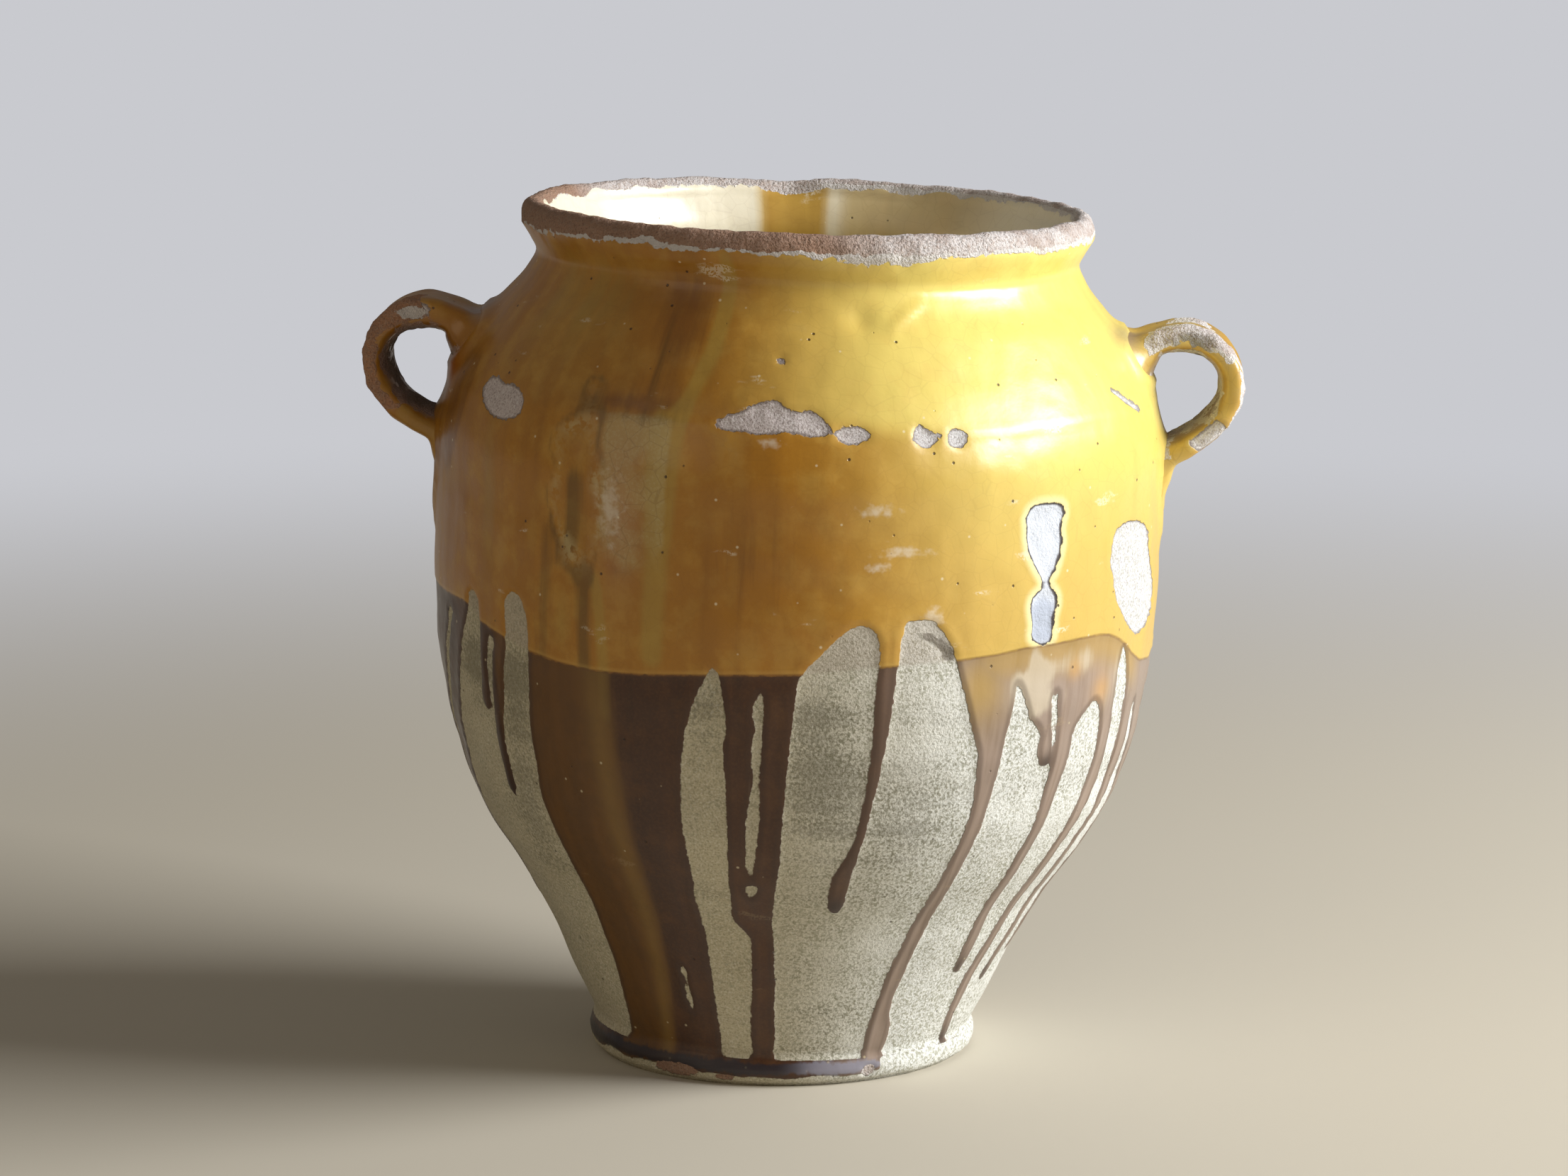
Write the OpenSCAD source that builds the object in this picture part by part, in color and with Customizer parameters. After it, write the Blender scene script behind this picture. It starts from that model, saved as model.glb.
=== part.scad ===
// Lead-glazed earthenware confit pot: a thrown body with a rolled rim, a rounded
// shoulder and a low beaded foot, and two pulled strap handles luted to the shoulder.
// Clay body and handles were joined before firing, so the pot is one solid.
// Frame: +Z up, X through the two handles, front towards -Y, origin at the middle of
// the flat underside. The whole form leans towards +X and its underside is cut flat.

/* [Body] */
// Height of the form along its own axis, from the underside to the crown of the rim
pot_h = 330; // [290:1:380]
// Lean of the whole form towards the right-hand handle, in degrees
lean = 1.8; // [0:0.1:3]
// Greatest radius of the belly
belly_r = 138.6; // [130:0.5:160]
// Height of the greatest radius
belly_h = 218; // [200:1:225]
// Radius where the lower wall has finished turning upright
upright_r = 136.3; // [120:0.5:145]
// Height where the lower wall has finished turning upright
upright_h = 149; // [135:1:170]
// Radius at the top of the straight, flaring part of the lower wall
flare_r = 124; // [105:0.5:130]
// Height of the top of that flaring part
flare_h = 105; // [85:1:118]
// Radius half-way up the flaring part
flank_r = 97.5; // [84:0.5:104]
// Height of the point half-way up the flaring part
flank_h = 62; // [45:1:75]
// Thickness of the wall, measured level
wall_t = 9; // [6:0.5:12]
// Thickness of the floor
floor_t = 11; // [7:0.5:16]

/* [Foot] */
// Radius of the underside
foot_r = 71.6; // [62:0.1:76]
// Radius of the bead round the foot
foot_bead_r = 75.4; // [74:0.1:80]
// Height of the middle of the bead
foot_bead_h = 6.5; // [4:0.1:9]
// Radius of the waist between the bead and the wall
foot_waist_r = 73.6; // [66:0.1:80]
// Height of that waist
foot_waist_h = 13; // [10:0.1:18]

/* [Shoulder, neck and rim] */
// Radius at the rounded turn of the shoulder
shoulder_r = 136.6; // [130:0.1:150]
// Depth of the turn of the shoulder below the crown of the rim
shoulder_drop = 76; // [72:1:84]
// Radius at the top of the turn, where the slope to the neck starts
slope_r = 128; // [121:0.5:130]
// Depth of the top of the turn below the crown
slope_drop = 57; // [50:1:62]
// Radius in the middle of the slope
mid_slope_r = 116.6; // [110:0.5:120]
// Depth of the middle of the slope below the crown
mid_slope_drop = 40.5; // [36:0.5:44]
// Radius of the neck, at its narrowest
neck_r = 103.2; // [90:0.1:106]
// Depth of the narrowest part of the neck below the crown
neck_drop = 19.5; // [17:0.5:24]
// Greatest radius of the rolled rim
rim_r = 110.2; // [104:0.5:118]
// Height of the rolled rim
rim_h = 14; // [11:0.5:16]
// Thickness of the rolled rim, from outside to mouth
rim_t = 9.8; // [8:0.1:14]

/* [Handles] */
// How far the right-hand handle reaches beyond the widest part of the wall
reach_right = 31.4; // [24:0.1:44]
// How far the left-hand handle reaches beyond the widest part of the wall
reach_left = 30.6; // [24:0.1:44]
// Depth of the right-hand arch's middle line below the crown of the rim
arch_drop_right = 45; // [40:0.5:49]
// Depth of the left-hand arch's middle line below the crown of the rim
arch_drop_left = 45; // [40:0.5:49]
// Thickness of the strap at the top of the right-hand arch
arch_t_right = 12.8; // [9:0.1:14]
// Thickness of the strap at the top of the left-hand arch
arch_t_left = 14.6; // [9:0.1:15]
// How far the right-hand strap's middle line is out of the wall where it turns in
turn_out_right = 3; // [1:0.1:5]
// How far the left-hand strap's middle line is out of the wall where it turns in
turn_out_left = 1.2; // [1:0.1:5]
// How far the left-hand handle is set towards the front of the axis
left_shift = 7; // [0:0.5:12]
// Width of the strap at the bend
strap_w = 35; // [22:0.5:40]
// Thickness of the strap at the bend
strap_t = 11; // [8:0.1:12]
// Depth of the root's middle below the crown of the rim
root_drop = 56; // [53:0.5:60]
// Depth of the place where the strap turns in to the wall, below the crown
turn_drop = 92; // [88:1:98]
// Length of the smeared tail below that turn
tail_l = 34; // [20:1:40]
// How much wider the strap is where it is thumbed on to the shoulder
root_spread = 11; // [0:1:20]
// Depth of the grooves that the potter's fingers drew along the strap
groove = 0.7; // [0:0.1:1.2]

/* [Hidden] */

// Facets round the thrown body where it is drawn as a mesh
round_fn = 128;
// Points drawn between two stations of a wall and of a strap
curve_steps = 6;
strap_steps = 3;
// Points round the strap's section and its squareness
section_points = 24;
section_power = 3.2;
// Rounding of the bead round the foot: how far it stands out, half its height, and where it stops
bead_round = 3;
bead_half_h = 4.2;
bead_turn = 50;
// Where the roll of the rim starts under its outer edge and ends in the mouth, in degrees
roll_start = -36;
roll_end = 195;
roll_step = 16.5;
// How far the throat under the roll is inside the rim's edge and below its middle
throat_in = 4.2;
throat_drop = 6.3;
// How far the neck opens out, and how far down, before the slope takes over
neck_flare = 3.3;
neck_flare_drop = 8;
// How far the strap's root and tail are sunk into the wall
root_sunk = 4.5;
tail_sunk = 4.6;

rim_mid_h = pot_h - rim_h / 2;
rim_mid_r = rim_r - rim_t / 2;
shoulder_h = pot_h - shoulder_drop;
slope_h = pot_h - slope_drop;
mid_slope_h = pot_h - mid_slope_drop;
neck_h = pot_h - neck_drop;

// How far the upright form runs on below the table before it is cut flat
foot_spare = 2 + foot_r * sin(lean);

// Value and slope of a smooth curve between two stations, t from 0 to 1
function between(a, b, slope_a, slope_b, t) =
    a * (1 + 2 * t) * pow(1 - t, 2) + b * t * t * (3 - 2 * t)
    + slope_a * t * pow(1 - t, 2) + slope_b * t * t * (t - 1);

// Slope at station i, from its neighbours and the lengths of the two spans beside it
function slope_at(p, i) =
    let (last = len(p) - 1)
    i == 0 ? (p[1] - p[0]) / norm(p[1] - p[0])
    : i == last ? (p[last] - p[last - 1]) / norm(p[last] - p[last - 1])
    : let (before = norm(p[i] - p[i - 1]), after = norm(p[i + 1] - p[i]))
      ((p[i] - p[i - 1]) / before * after + (p[i + 1] - p[i]) / after * before) / (before + after);

// A smooth curve through a list of stations, of any dimension
function curve(p, steps) = [
    for (i = [0 : len(p) - 2])
        let (span = norm(p[i + 1] - p[i]))
        for (k = [0 : steps - 1])
            between(p[i], p[i + 1], slope_at(p, i) * span, slope_at(p, i + 1) * span, k / steps),
    p[len(p) - 1]
];

// Outside of the wall, from the foot to the neck, as [radius, height]
outer_wall = curve([
    [foot_waist_r, foot_waist_h],
    [flank_r, flank_h],
    [flare_r, flare_h],
    [upright_r, upright_h],
    [belly_r, belly_h],
    [shoulder_r, shoulder_h],
    [slope_r, slope_h],
    [mid_slope_r, mid_slope_h],
    [neck_r + neck_flare, neck_h - neck_flare_drop],
    [neck_r, neck_h],
    [rim_r - throat_in, rim_mid_h - throat_drop]
], curve_steps);

// Outside of the foot, from the underside up to the waist
outer_foot = [
    [foot_r, -foot_spare],
    [foot_r, 0.4],
    for (a = [-bead_turn : 20 : bead_turn])
        [
            foot_bead_r - bead_round * (1 - cos(a)),
            foot_bead_h + bead_half_h * sin(a) / sin(bead_turn)
        ]
];

// The rolled rim, drawn round from the outside of the neck over the crown into the mouth
rim_roll = [
    for (a = [roll_start : roll_step : roll_end])
        [rim_mid_r + rim_t / 2 * cos(a), rim_mid_h + rim_h / 2 * sin(a)]
];

// Inside of the wall, from the neck down to the floor
inner_wall = curve([
    [neck_r - wall_t + 1.5, neck_h],
    [mid_slope_r - wall_t - 0.5, mid_slope_h],
    [slope_r - wall_t - 0.5, slope_h],
    [shoulder_r - wall_t + 0.5, shoulder_h - 3],
    [belly_r - wall_t, belly_h],
    [upright_r - wall_t, upright_h],
    [flare_r - wall_t, flare_h],
    [flank_r - wall_t, flank_h],
    [foot_waist_r - wall_t - 9, floor_t + 13],
    [foot_waist_r - wall_t - 34, floor_t + 2],
    [0, floor_t]
], curve_steps);

// Greatest radius of the wall, from which the reach of the handles is measured
widest_r = max([for (p = outer_wall) p[0]]);

// Radius of the outside of the wall at a height between the waist of the foot and the neck
function wall_radius(h) = lookup(h, [for (p = outer_wall) [p[1], p[0]]]);

// Stations of a strap: [distance from the axis, height, width, thickness]
function strap_stations(reach, arch_drop, arch_t, turn_out) =
    let (
        root_h = pot_h - root_drop,
        arch_h = pot_h - arch_drop,
        turn_h = pot_h - turn_drop,
        bend_r = widest_r + reach - strap_t / 2,
        smear_h = turn_h - tail_l * 0.22,
        thin_h = turn_h - tail_l * 0.5,
        tail_h = turn_h - tail_l
    ) [
        [wall_radius(root_h) - root_sunk, root_h, strap_w + root_spread, arch_t * 1.55],
        [wall_radius(root_h) + 2, root_h + 4.6, strap_w + root_spread * 0.5, arch_t * 1.3],
        [bend_r - 30, arch_h - 2.3, strap_w + 1, arch_t * 0.95],
        [bend_r - 18, arch_h, strap_w - 2, arch_t],
        [bend_r - 8, arch_h - 3.2, strap_w - 2, (arch_t + strap_t) / 2],
        [bend_r - 2, arch_h - 9.8, strap_w - 1, strap_t],
        [bend_r, turn_h + 29, strap_w, strap_t],
        [bend_r - 1.2, turn_h + 22, strap_w, strap_t],
        [bend_r - 4.2, turn_h + 16.3, strap_w + 1, strap_t],
        [bend_r - 9.3, turn_h + 10.6, strap_w + 1, strap_t],
        [bend_r - 16, turn_h + 6, strap_w + 2, strap_t * 0.96],
        [wall_radius(turn_h) + turn_out, turn_h + 0.6, strap_w + 1, strap_t * 0.9],
        [wall_radius(smear_h) + turn_out - 2.7, smear_h, strap_w - 2, strap_t * 0.8],
        [wall_radius(thin_h) + turn_out - 4.4, thin_h, strap_w * 0.82, strap_t * 0.6],
        [wall_radius(tail_h) - tail_sunk, tail_h, strap_w * 0.55, strap_t * 0.4]
    ];

// Point k of the strap's section, as [across the width, through the thickness]
function section_point(w, t, k) =
    let (
        a = 360 * k / section_points,
        across = sign(cos(a)) * pow(abs(cos(a)), 2 / section_power),
        through = sign(sin(a)) * pow(abs(sin(a)), 2 / section_power)
    )
    [w / 2 * across, through * (t / 2 - groove * pow(cos(a * 2) * sin(a), 2))];

module thrown_body() {
    color("#d8a72c")
        rotate_extrude($fn = round_fn)
            polygon(concat(
                [[0, -foot_spare]],
                outer_foot,
                outer_wall,
                rim_roll,
                inner_wall
            ));
}

// A pulled strap: the section is carried along the arch, square to its path
module strap_handle(reach, arch_drop, arch_t, turn_out) {
    stations = curve(strap_stations(reach, arch_drop, arch_t, turn_out), strap_steps);
    rings = len(stations);
    points = [
        for (i = [0 : rings - 1])
            let (
                here = stations[i],
                ahead = stations[min(i + 1, rings - 1)],
                behind = stations[max(i - 1, 0)],
                step = [ahead[0] - behind[0], ahead[1] - behind[1]],
                run = step / norm(step)
            )
            for (k = [0 : section_points - 1])
                let (s = section_point(here[2], here[3], k))
                [here[0] - run[1] * s[1], s[0], here[1] + run[0] * s[1]]
    ];
    sides = [
        for (i = [0 : rings - 2])
            for (k = [0 : section_points - 1])
                let (
                    a = i * section_points + k,
                    b = i * section_points + (k + 1) % section_points
                )
                each [[a, b + section_points, b], [a, a + section_points, b + section_points]]
    ];
    root_face = [for (k = [0 : section_points - 1]) k];
    tail_face = [for (k = [section_points - 1 : -1 : 0]) (rings - 1) * section_points + k];
    color("#c08a24")
        polyhedron(points = points, faces = concat(sides, [root_face, tail_face]), convexity = 6);
}

module pot() {
    difference() {
        rotate([0, lean, 0]) {
            thrown_body();
            strap_handle(reach_right, arch_drop_right, arch_t_right, turn_out_right);
            rotate([0, 0, 180])
                translate([0, left_shift, 0])
                    strap_handle(reach_left, arch_drop_left, arch_t_left, turn_out_left);
        }
        // the table that the foot was cut flat on
        translate([0, 0, -pot_h / 2])
            cube([4 * belly_r, 4 * belly_r, pot_h], center = true);
    }
}

pot();
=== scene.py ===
"""A glazed confit pot: a thrown earthenware body, two pulled strap handles, a yellow glaze and its runs."""
import math
import bpy
import numpy as np
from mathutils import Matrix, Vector
from mathutils.bvhtree import BVHTree


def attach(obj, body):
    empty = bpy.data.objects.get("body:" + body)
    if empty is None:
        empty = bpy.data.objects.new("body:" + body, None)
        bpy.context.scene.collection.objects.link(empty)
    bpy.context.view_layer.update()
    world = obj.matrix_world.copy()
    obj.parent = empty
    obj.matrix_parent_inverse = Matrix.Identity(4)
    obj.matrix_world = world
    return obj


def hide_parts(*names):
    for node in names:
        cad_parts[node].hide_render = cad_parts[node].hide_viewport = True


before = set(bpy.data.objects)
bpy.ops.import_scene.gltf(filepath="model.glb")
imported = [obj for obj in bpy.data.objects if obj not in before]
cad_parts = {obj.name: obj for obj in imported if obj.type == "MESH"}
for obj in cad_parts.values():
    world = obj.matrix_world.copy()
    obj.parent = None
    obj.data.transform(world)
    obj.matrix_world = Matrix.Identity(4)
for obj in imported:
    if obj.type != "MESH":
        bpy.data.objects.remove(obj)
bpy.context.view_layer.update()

# The view of the photograph
# It was taken from two metres away and a little above the rim, from a few degrees to the right
# of square, with a long lens that looks down at the middle of the belly.
IMAGE_W = 2212
FOCAL_PX = 7600
VIEW_TURN = math.radians(3)
VIEW_PITCH = math.radians(9.82)
VIEW_DISTANCE = 2.062
VIEW_HEIGHT = 0.537
VIEW_ASIDE = 0.0009

camera = bpy.data.objects.new("camera", bpy.data.cameras.new("camera"))
camera.data.sensor_width = 36
camera.data.lens = FOCAL_PX / IMAGE_W * camera.data.sensor_width
camera.location = (
    VIEW_ASIDE * math.cos(VIEW_TURN) + VIEW_DISTANCE * math.sin(VIEW_TURN),
    VIEW_ASIDE * math.sin(VIEW_TURN) - VIEW_DISTANCE * math.cos(VIEW_TURN),
    VIEW_HEIGHT,
)
camera.rotation_euler = (math.pi / 2 - VIEW_PITCH, 0, VIEW_TURN)
bpy.context.collection.objects.link(camera)
bpy.context.scene.camera = camera


# The floor and the light
# A plain pale studio floor that runs out past the picture, a broad window-like lamp to the right of
# the pot, a weak one to the left, and an even room light from all round.
def linear(code):
    """An sRGB hex colour as the linear RGBA that a shader takes."""
    parts = [int(code[i : i + 2], 16) / 255 for i in (1, 3, 5)]
    return (*[p / 12.92 if p <= 0.04045 else ((p + 0.055) / 1.055) ** 2.4 for p in parts], 1)


def add(tree, kind, feeds=None, **settings):
    """Add a node: its settings, then for each input a value, a socket, or a node for its first output."""
    node = tree.nodes.new(kind)
    for name, value in settings.items():
        setattr(node, name, value)
    for name, value in (feeds or {}).items():
        if isinstance(value, bpy.types.Node):
            value = value.outputs[0]
        if isinstance(value, bpy.types.NodeSocket):
            tree.links.new(value, node.inputs[name])
        else:
            node.inputs[name].default_value = value
    return node


def new_material(name):
    """An empty material with its own node tree."""
    material = bpy.data.materials.new(name)
    material.use_nodes = True
    material.node_tree.nodes.clear()
    return material


# matt paper: a pale floor without shine, which fades into an even backdrop away from the pot
FLOOR_COLOUR = "#CBC4B4"
BACKDROP_COLOUR = "#C9CACF"
FLOOR_HALF = 7
FLOOR_FADE = (0.45, 1.7)
BACKDROP_IN_GLOSS = 0.25
WINDOW_FROM = Vector((1.98, -0.22, 1.08))
FILL_FROM = Vector((-1.7, -1.7, 1.2))
LIGHT_AIM = Vector((0, 0, 0.17))

floor_material = new_material("matt_studio_floor")
tree = floor_material.node_tree
shader = add(tree, "ShaderNodeBsdfPrincipled", {"Base Color": linear(FLOOR_COLOUR), "Roughness": 0.9})
backdrop = add(tree, "ShaderNodeEmission", {"Color": linear(BACKDROP_COLOUR)})
from_pot = add(tree, "ShaderNodeVectorMath", {0: add(tree, "ShaderNodeTexCoord").outputs["Object"]},
               operation="LENGTH").outputs["Value"]
far_off = add(tree, "ShaderNodeMapRange",
              {"Value": from_pot, "From Min": FLOOR_FADE[0], "From Max": FLOOR_FADE[1]},
              interpolation_type="SMOOTHSTEP")
rays = add(tree, "ShaderNodeLightPath").outputs
seen = add(tree, "ShaderNodeMath", {0: rays["Is Glossy Ray"], 1: BACKDROP_IN_GLOSS, 2: rays["Is Camera Ray"]},
           operation="MULTIPLY_ADD")
seen_far = add(tree, "ShaderNodeMath", {0: far_off, 1: seen}, operation="MULTIPLY")
faded = add(tree, "ShaderNodeMixShader", {0: seen_far, 1: shader, 2: backdrop})
add(tree, "ShaderNodeOutputMaterial", {"Surface": faded})

floor_mesh = bpy.data.meshes.new("floor")
corners = [(x * FLOOR_HALF, y * FLOOR_HALF, 0) for x, y in ((-1, -1), (1, -1), (1, 1), (-1, 1))]
floor_mesh.from_pydata(corners, [], [(0, 1, 2, 3)])
floor_mesh.materials.append(floor_material)
floor = bpy.data.objects.new("floor", floor_mesh)
bpy.context.collection.objects.link(floor)

for name, place, wide, tall, power, tint in (
    ("window_lamp", WINDOW_FROM, 1.4, 0.55, 76, "#FFFFFF"),
    ("weak_lamp", FILL_FROM, 1.6, 1.6, 6, "#FFEBD0"),
):
    lamp = bpy.data.lights.new(name, "AREA")
    lamp.shape = "RECTANGLE"
    lamp.size = wide
    lamp.size_y = tall
    lamp.energy = power
    lamp.color = linear(tint)[:3]
    holder = bpy.data.objects.new(name, lamp)
    holder.location = place
    holder.rotation_euler = (LIGHT_AIM - place).to_track_quat("-Z", "Y").to_euler()
    bpy.context.collection.objects.link(holder)

world = bpy.data.worlds.new("room")
world.use_nodes = True
world.node_tree.nodes.clear()
room = add(world.node_tree, "ShaderNodeBackground", {"Color": linear("#F3EDE4"), "Strength": 0.17})
add(world.node_tree, "ShaderNodeOutputWorld", {"Surface": room})
bpy.context.scene.world = world
bpy.context.scene.view_settings.view_transform = "Standard"


# The thrown body
# One wall of pale earthenware, thrown on the wheel and leaning a little since it was cut off and set
# to dry. Its rim is rolled over, its foot is a low bead, and the wheel left faint rings on the wall.
LEAN = math.radians(1.8)
POT_H = 330.0
FLOOR_T = 11.0
FOOT_R = 71.6
FOOT_BEAD = (75.4, 6.5)
WAIST = (73.6, 13.0)
RIM_MID = (105.3, 323.0)
RIM_HALF = (4.9, 7.0)
OUTER_STATIONS = [WAIST, (97.5, 62), (124, 105), (136.3, 149), (138.6, 218), (136.6, 254), (128, 273),
                  (116.6, 289.5), (106.5, 302.5), (103.2, 310.5), (106, 316.7)]
INNER_STATIONS = [(95.7, 310.5), (107.1, 289.5), (118.5, 273), (128.1, 251), (129.6, 218), (127.3, 149),
                  (115, 105), (88.5, 62), (55.6, 24), (30.6, 13), (0, FLOOR_T)]
BEAD_ROUND = (3.0, 4.2)
BEAD_SPAN = 50
# the mesh: columns round the pot, crowded towards the front by a share, and mm between its rings
COLUMNS = 352
FRONT_SHARE = 0.27
FOOT_GAP, WALL_GAP, RIM_GAP, INSIDE_GAP = 1.3, 1.9, 1.6, 8.0
MM = 0.001


def smooth_curve(stations, steps):
    """A smooth curve through stations of any dimension, its slopes weighed by the spans beside them."""
    p = np.array(stations, float)
    spans = np.linalg.norm(np.diff(p, axis=0), axis=1)
    unit = np.diff(p, axis=0) / spans[:, None]
    slopes = np.empty_like(p)
    slopes[0], slopes[-1] = unit[0], unit[-1]
    before, after = spans[:-1, None], spans[1:, None]
    slopes[1:-1] = (unit[:-1] * after + unit[1:] * before) / (before + after)
    t = (np.arange(steps) / steps)[:, None]
    pieces = [
        p[i] * (1 + 2 * t) * (1 - t) ** 2 + p[i + 1] * t * t * (3 - 2 * t)
        + slopes[i] * spans[i] * t * (1 - t) ** 2 + slopes[i + 1] * spans[i] * t * t * (t - 1)
        for i in range(len(p) - 1)
    ]
    return np.vstack(pieces + [p[-1:]])


def respaced(line, spacing):
    """The same polyline with points at an even distance along it."""
    steps = np.linalg.norm(np.diff(line[:, :2], axis=0), axis=1)
    along = np.concatenate([[0], np.cumsum(steps)])
    places = np.linspace(0, along[-1], max(2, round(along[-1] / spacing) + 1))
    return np.column_stack([np.interp(places, along, line[:, k]) for k in range(line.shape[1])])


def new_tree(name, inputs):
    """A geometry tree whose group input has these sockets, (name, kind, value), after the geometry."""
    tree = bpy.data.node_groups.new(name, "GeometryNodeTree")
    tree.interface.new_socket("Geometry", in_out="INPUT", socket_type="NodeSocketGeometry")
    tree.interface.new_socket("Geometry", in_out="OUTPUT", socket_type="NodeSocketGeometry")
    for label, kind, value in inputs:
        tree.interface.new_socket(label, in_out="INPUT", socket_type="NodeSocket" + kind)
    return tree


def finished(tree, made, material):
    """The end of a tree: its instances made real, and its material on them."""
    real = add(tree, "GeometryNodeRealizeInstances", {"Geometry": made})
    dressed = add(tree, "GeometryNodeSetMaterial", {"Geometry": real, "Material": material})
    add(tree, "NodeGroupOutput", {"Geometry": dressed})


def line_object(name, points, **fields):
    """A chain of vertices in metres that carries a value or a vector for each of its points."""
    mesh = bpy.data.meshes.new(name)
    mesh.from_pydata(points.tolist(), [(i, i + 1) for i in range(len(points) - 1)], [])
    for label, values in fields.items():
        store(mesh, label, values)
    made = bpy.data.objects.new(name, mesh)
    bpy.context.collection.objects.link(made)
    return made


def baked(holder, tree, inputs):
    """Run a tree on an object with values for its inputs, and keep the result as its plain mesh."""
    modifier = holder.modifiers.new("form", "NODES")
    modifier.node_group = tree
    sockets = {item.name: item.identifier for item in tree.interface.items_tree if item.in_out == "INPUT"}
    for label, _, value in inputs:
        modifier[sockets[label]] = value
    graph = bpy.context.evaluated_depsgraph_get()
    mesh = bpy.data.meshes.new_from_object(
        holder.evaluated_get(graph), preserve_all_data_layers=True, depsgraph=graph
    )
    holder.modifiers.remove(modifier)
    holder.data = mesh
    mesh.name = holder.name
    mesh.shade_smooth()
    return mesh


def store(mesh, name, values):
    """Keep one number, or one vector, for each vertex under a name that a tree or a material reads."""
    values = np.asarray(values, np.float32)
    if values.ndim == 2:
        mesh.attributes.new(name, "FLOAT_VECTOR", "POINT").data.foreach_set("vector", values.ravel())
    else:
        mesh.attributes.new(name, "FLOAT", "POINT").data.foreach_set("value", values)


def read(mesh, name):
    """The stored numbers of a mesh, or its places or normals, as an array."""
    count = len(mesh.vertices)
    if name in ("co", "normal"):
        values = np.empty(count * 3, np.float32)
        mesh.vertices.foreach_get(name, values)
        return values.reshape(-1, 3).astype(float)
    values = np.empty(count, np.float32)
    mesh.attributes[name].data.foreach_get("value", values)
    return values.astype(float)


outer_line = smooth_curve(OUTER_STATIONS, 24)
bead_turns = np.radians(np.arange(-BEAD_SPAN, BEAD_SPAN + 1, 20))
foot_line = np.vstack([
    [(FOOT_R, 0), (FOOT_R, 0.6)],
    np.column_stack([FOOT_BEAD[0] - BEAD_ROUND[0] * (1 - np.cos(bead_turns)),
                     FOOT_BEAD[1] + BEAD_ROUND[1] * np.sin(bead_turns) / math.sin(math.radians(BEAD_SPAN))]),
])
roll_turns = np.radians(np.arange(-36, 196, 6))
roll_line = np.column_stack([RIM_MID[0] + RIM_HALF[0] * np.cos(roll_turns),
                             RIM_MID[1] + RIM_HALF[1] * np.sin(roll_turns)])
inner_line = smooth_curve([tuple(roll_line[-1])] + INNER_STATIONS, 24)
base_line = np.array([(FOOT_R * share, 0) for share in (0, 0.3, 0.6, 0.85, 0.97)])
strips = [base_line, respaced(foot_line, FOOT_GAP), respaced(outer_line, WALL_GAP),
          respaced(roll_line, RIM_GAP)[1:-1], respaced(inner_line, INSIDE_GAP)]
section = np.vstack(strips)[::-1]


def wall_radius(height):
    """Radius of the outside of the foot, the wall and the lower roll at a height on the pot's own axis."""
    line = np.vstack([foot_line, outer_line, roll_line[1:7]])
    return np.interp(height, line[:, 1], line[:, 0])


# one material for the whole pot: the section on its finish, at the end, adds the nodes
finish = new_material("lead_glazed_earthenware")
revolve_inputs = [
    ("Columns", "Int", COLUMNS), ("Front Share", "Float", FRONT_SHARE), ("Lean", "Float", LEAN),
    ("Cut Height", "Float", WAIST[1] * MM), ("Finish", "Material", finish),
]
tree = new_tree("revolve_a_section", revolve_inputs)
given = add(tree, "NodeGroupInput").outputs
wheel = add(tree, "GeometryNodeCurvePrimitiveCircle", {"Resolution": given["Columns"]})
index = add(tree, "GeometryNodeInputIndex")
share = add(tree, "ShaderNodeMath", {0: index, 1: given["Columns"]}, operation="DIVIDE")
even = add(tree, "ShaderNodeMath", {0: share, 1: 2 * math.pi}, operation="MULTIPLY")
crowd = add(tree, "ShaderNodeMath", {0: even}, operation="SINE")
crowd = add(tree, "ShaderNodeMath", {0: crowd, 1: given["Front Share"]}, operation="MULTIPLY")
turned = add(tree, "ShaderNodeMath", {0: even, 1: crowd}, operation="SUBTRACT")
wheel = add(tree, "GeometryNodeStoreNamedAttribute", {"Geometry": wheel, "Name": "turn", "Value": turned},
            data_type="FLOAT")
profile = add(tree, "GeometryNodeMeshToCurve", {"Mesh": given["Geometry"]})
swept = add(tree, "GeometryNodeCurveToMesh", {"Curve": wheel, "Profile Curve": profile})
turn_at, reach_at, rise_at = [
    add(tree, "GeometryNodeInputNamedAttribute", {"Name": name}, data_type="FLOAT")
    for name in ("turn", "reach", "rise")
]
sine = add(tree, "ShaderNodeMath", {0: turn_at}, operation="SINE")
cosine = add(tree, "ShaderNodeMath", {0: turn_at}, operation="COSINE")
sideways = add(tree, "ShaderNodeMath", {0: sine, 1: reach_at}, operation="MULTIPLY")
backward = add(tree, "ShaderNodeMath", {0: cosine, 1: reach_at}, operation="MULTIPLY")
backward = add(tree, "ShaderNodeMath", {0: backward, 1: -1.0}, operation="MULTIPLY")
# below the waist the leaning form is drawn down or up to a level foot
slope = add(tree, "ShaderNodeMath", {0: given["Lean"]}, operation="TANGENT")
cut = add(tree, "ShaderNodeMath", {0: sideways, 1: slope}, operation="MULTIPLY")
low = add(tree, "ShaderNodeMapRange", {"Value": rise_at, "From Min": 0.0, "From Max": given["Cut Height"],
                                       "To Min": 1.0, "To Max": 0.0})
upward = add(tree, "ShaderNodeMath", {0: cut, 1: low, 2: rise_at}, operation="MULTIPLY_ADD")
place = add(tree, "ShaderNodeCombineXYZ", {"X": sideways, "Y": backward, "Z": upward})
place = add(tree, "ShaderNodeVectorRotate", {"Vector": place, "Angle": given["Lean"]}, rotation_type="Y_AXIS")
shaped = add(tree, "GeometryNodeSetPosition", {"Geometry": swept, "Position": place})
closed = add(tree, "GeometryNodeMergeByDistance", {"Geometry": shaped, "Distance": 0.02 * MM})
finished(tree, closed, given["Finish"])

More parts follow.
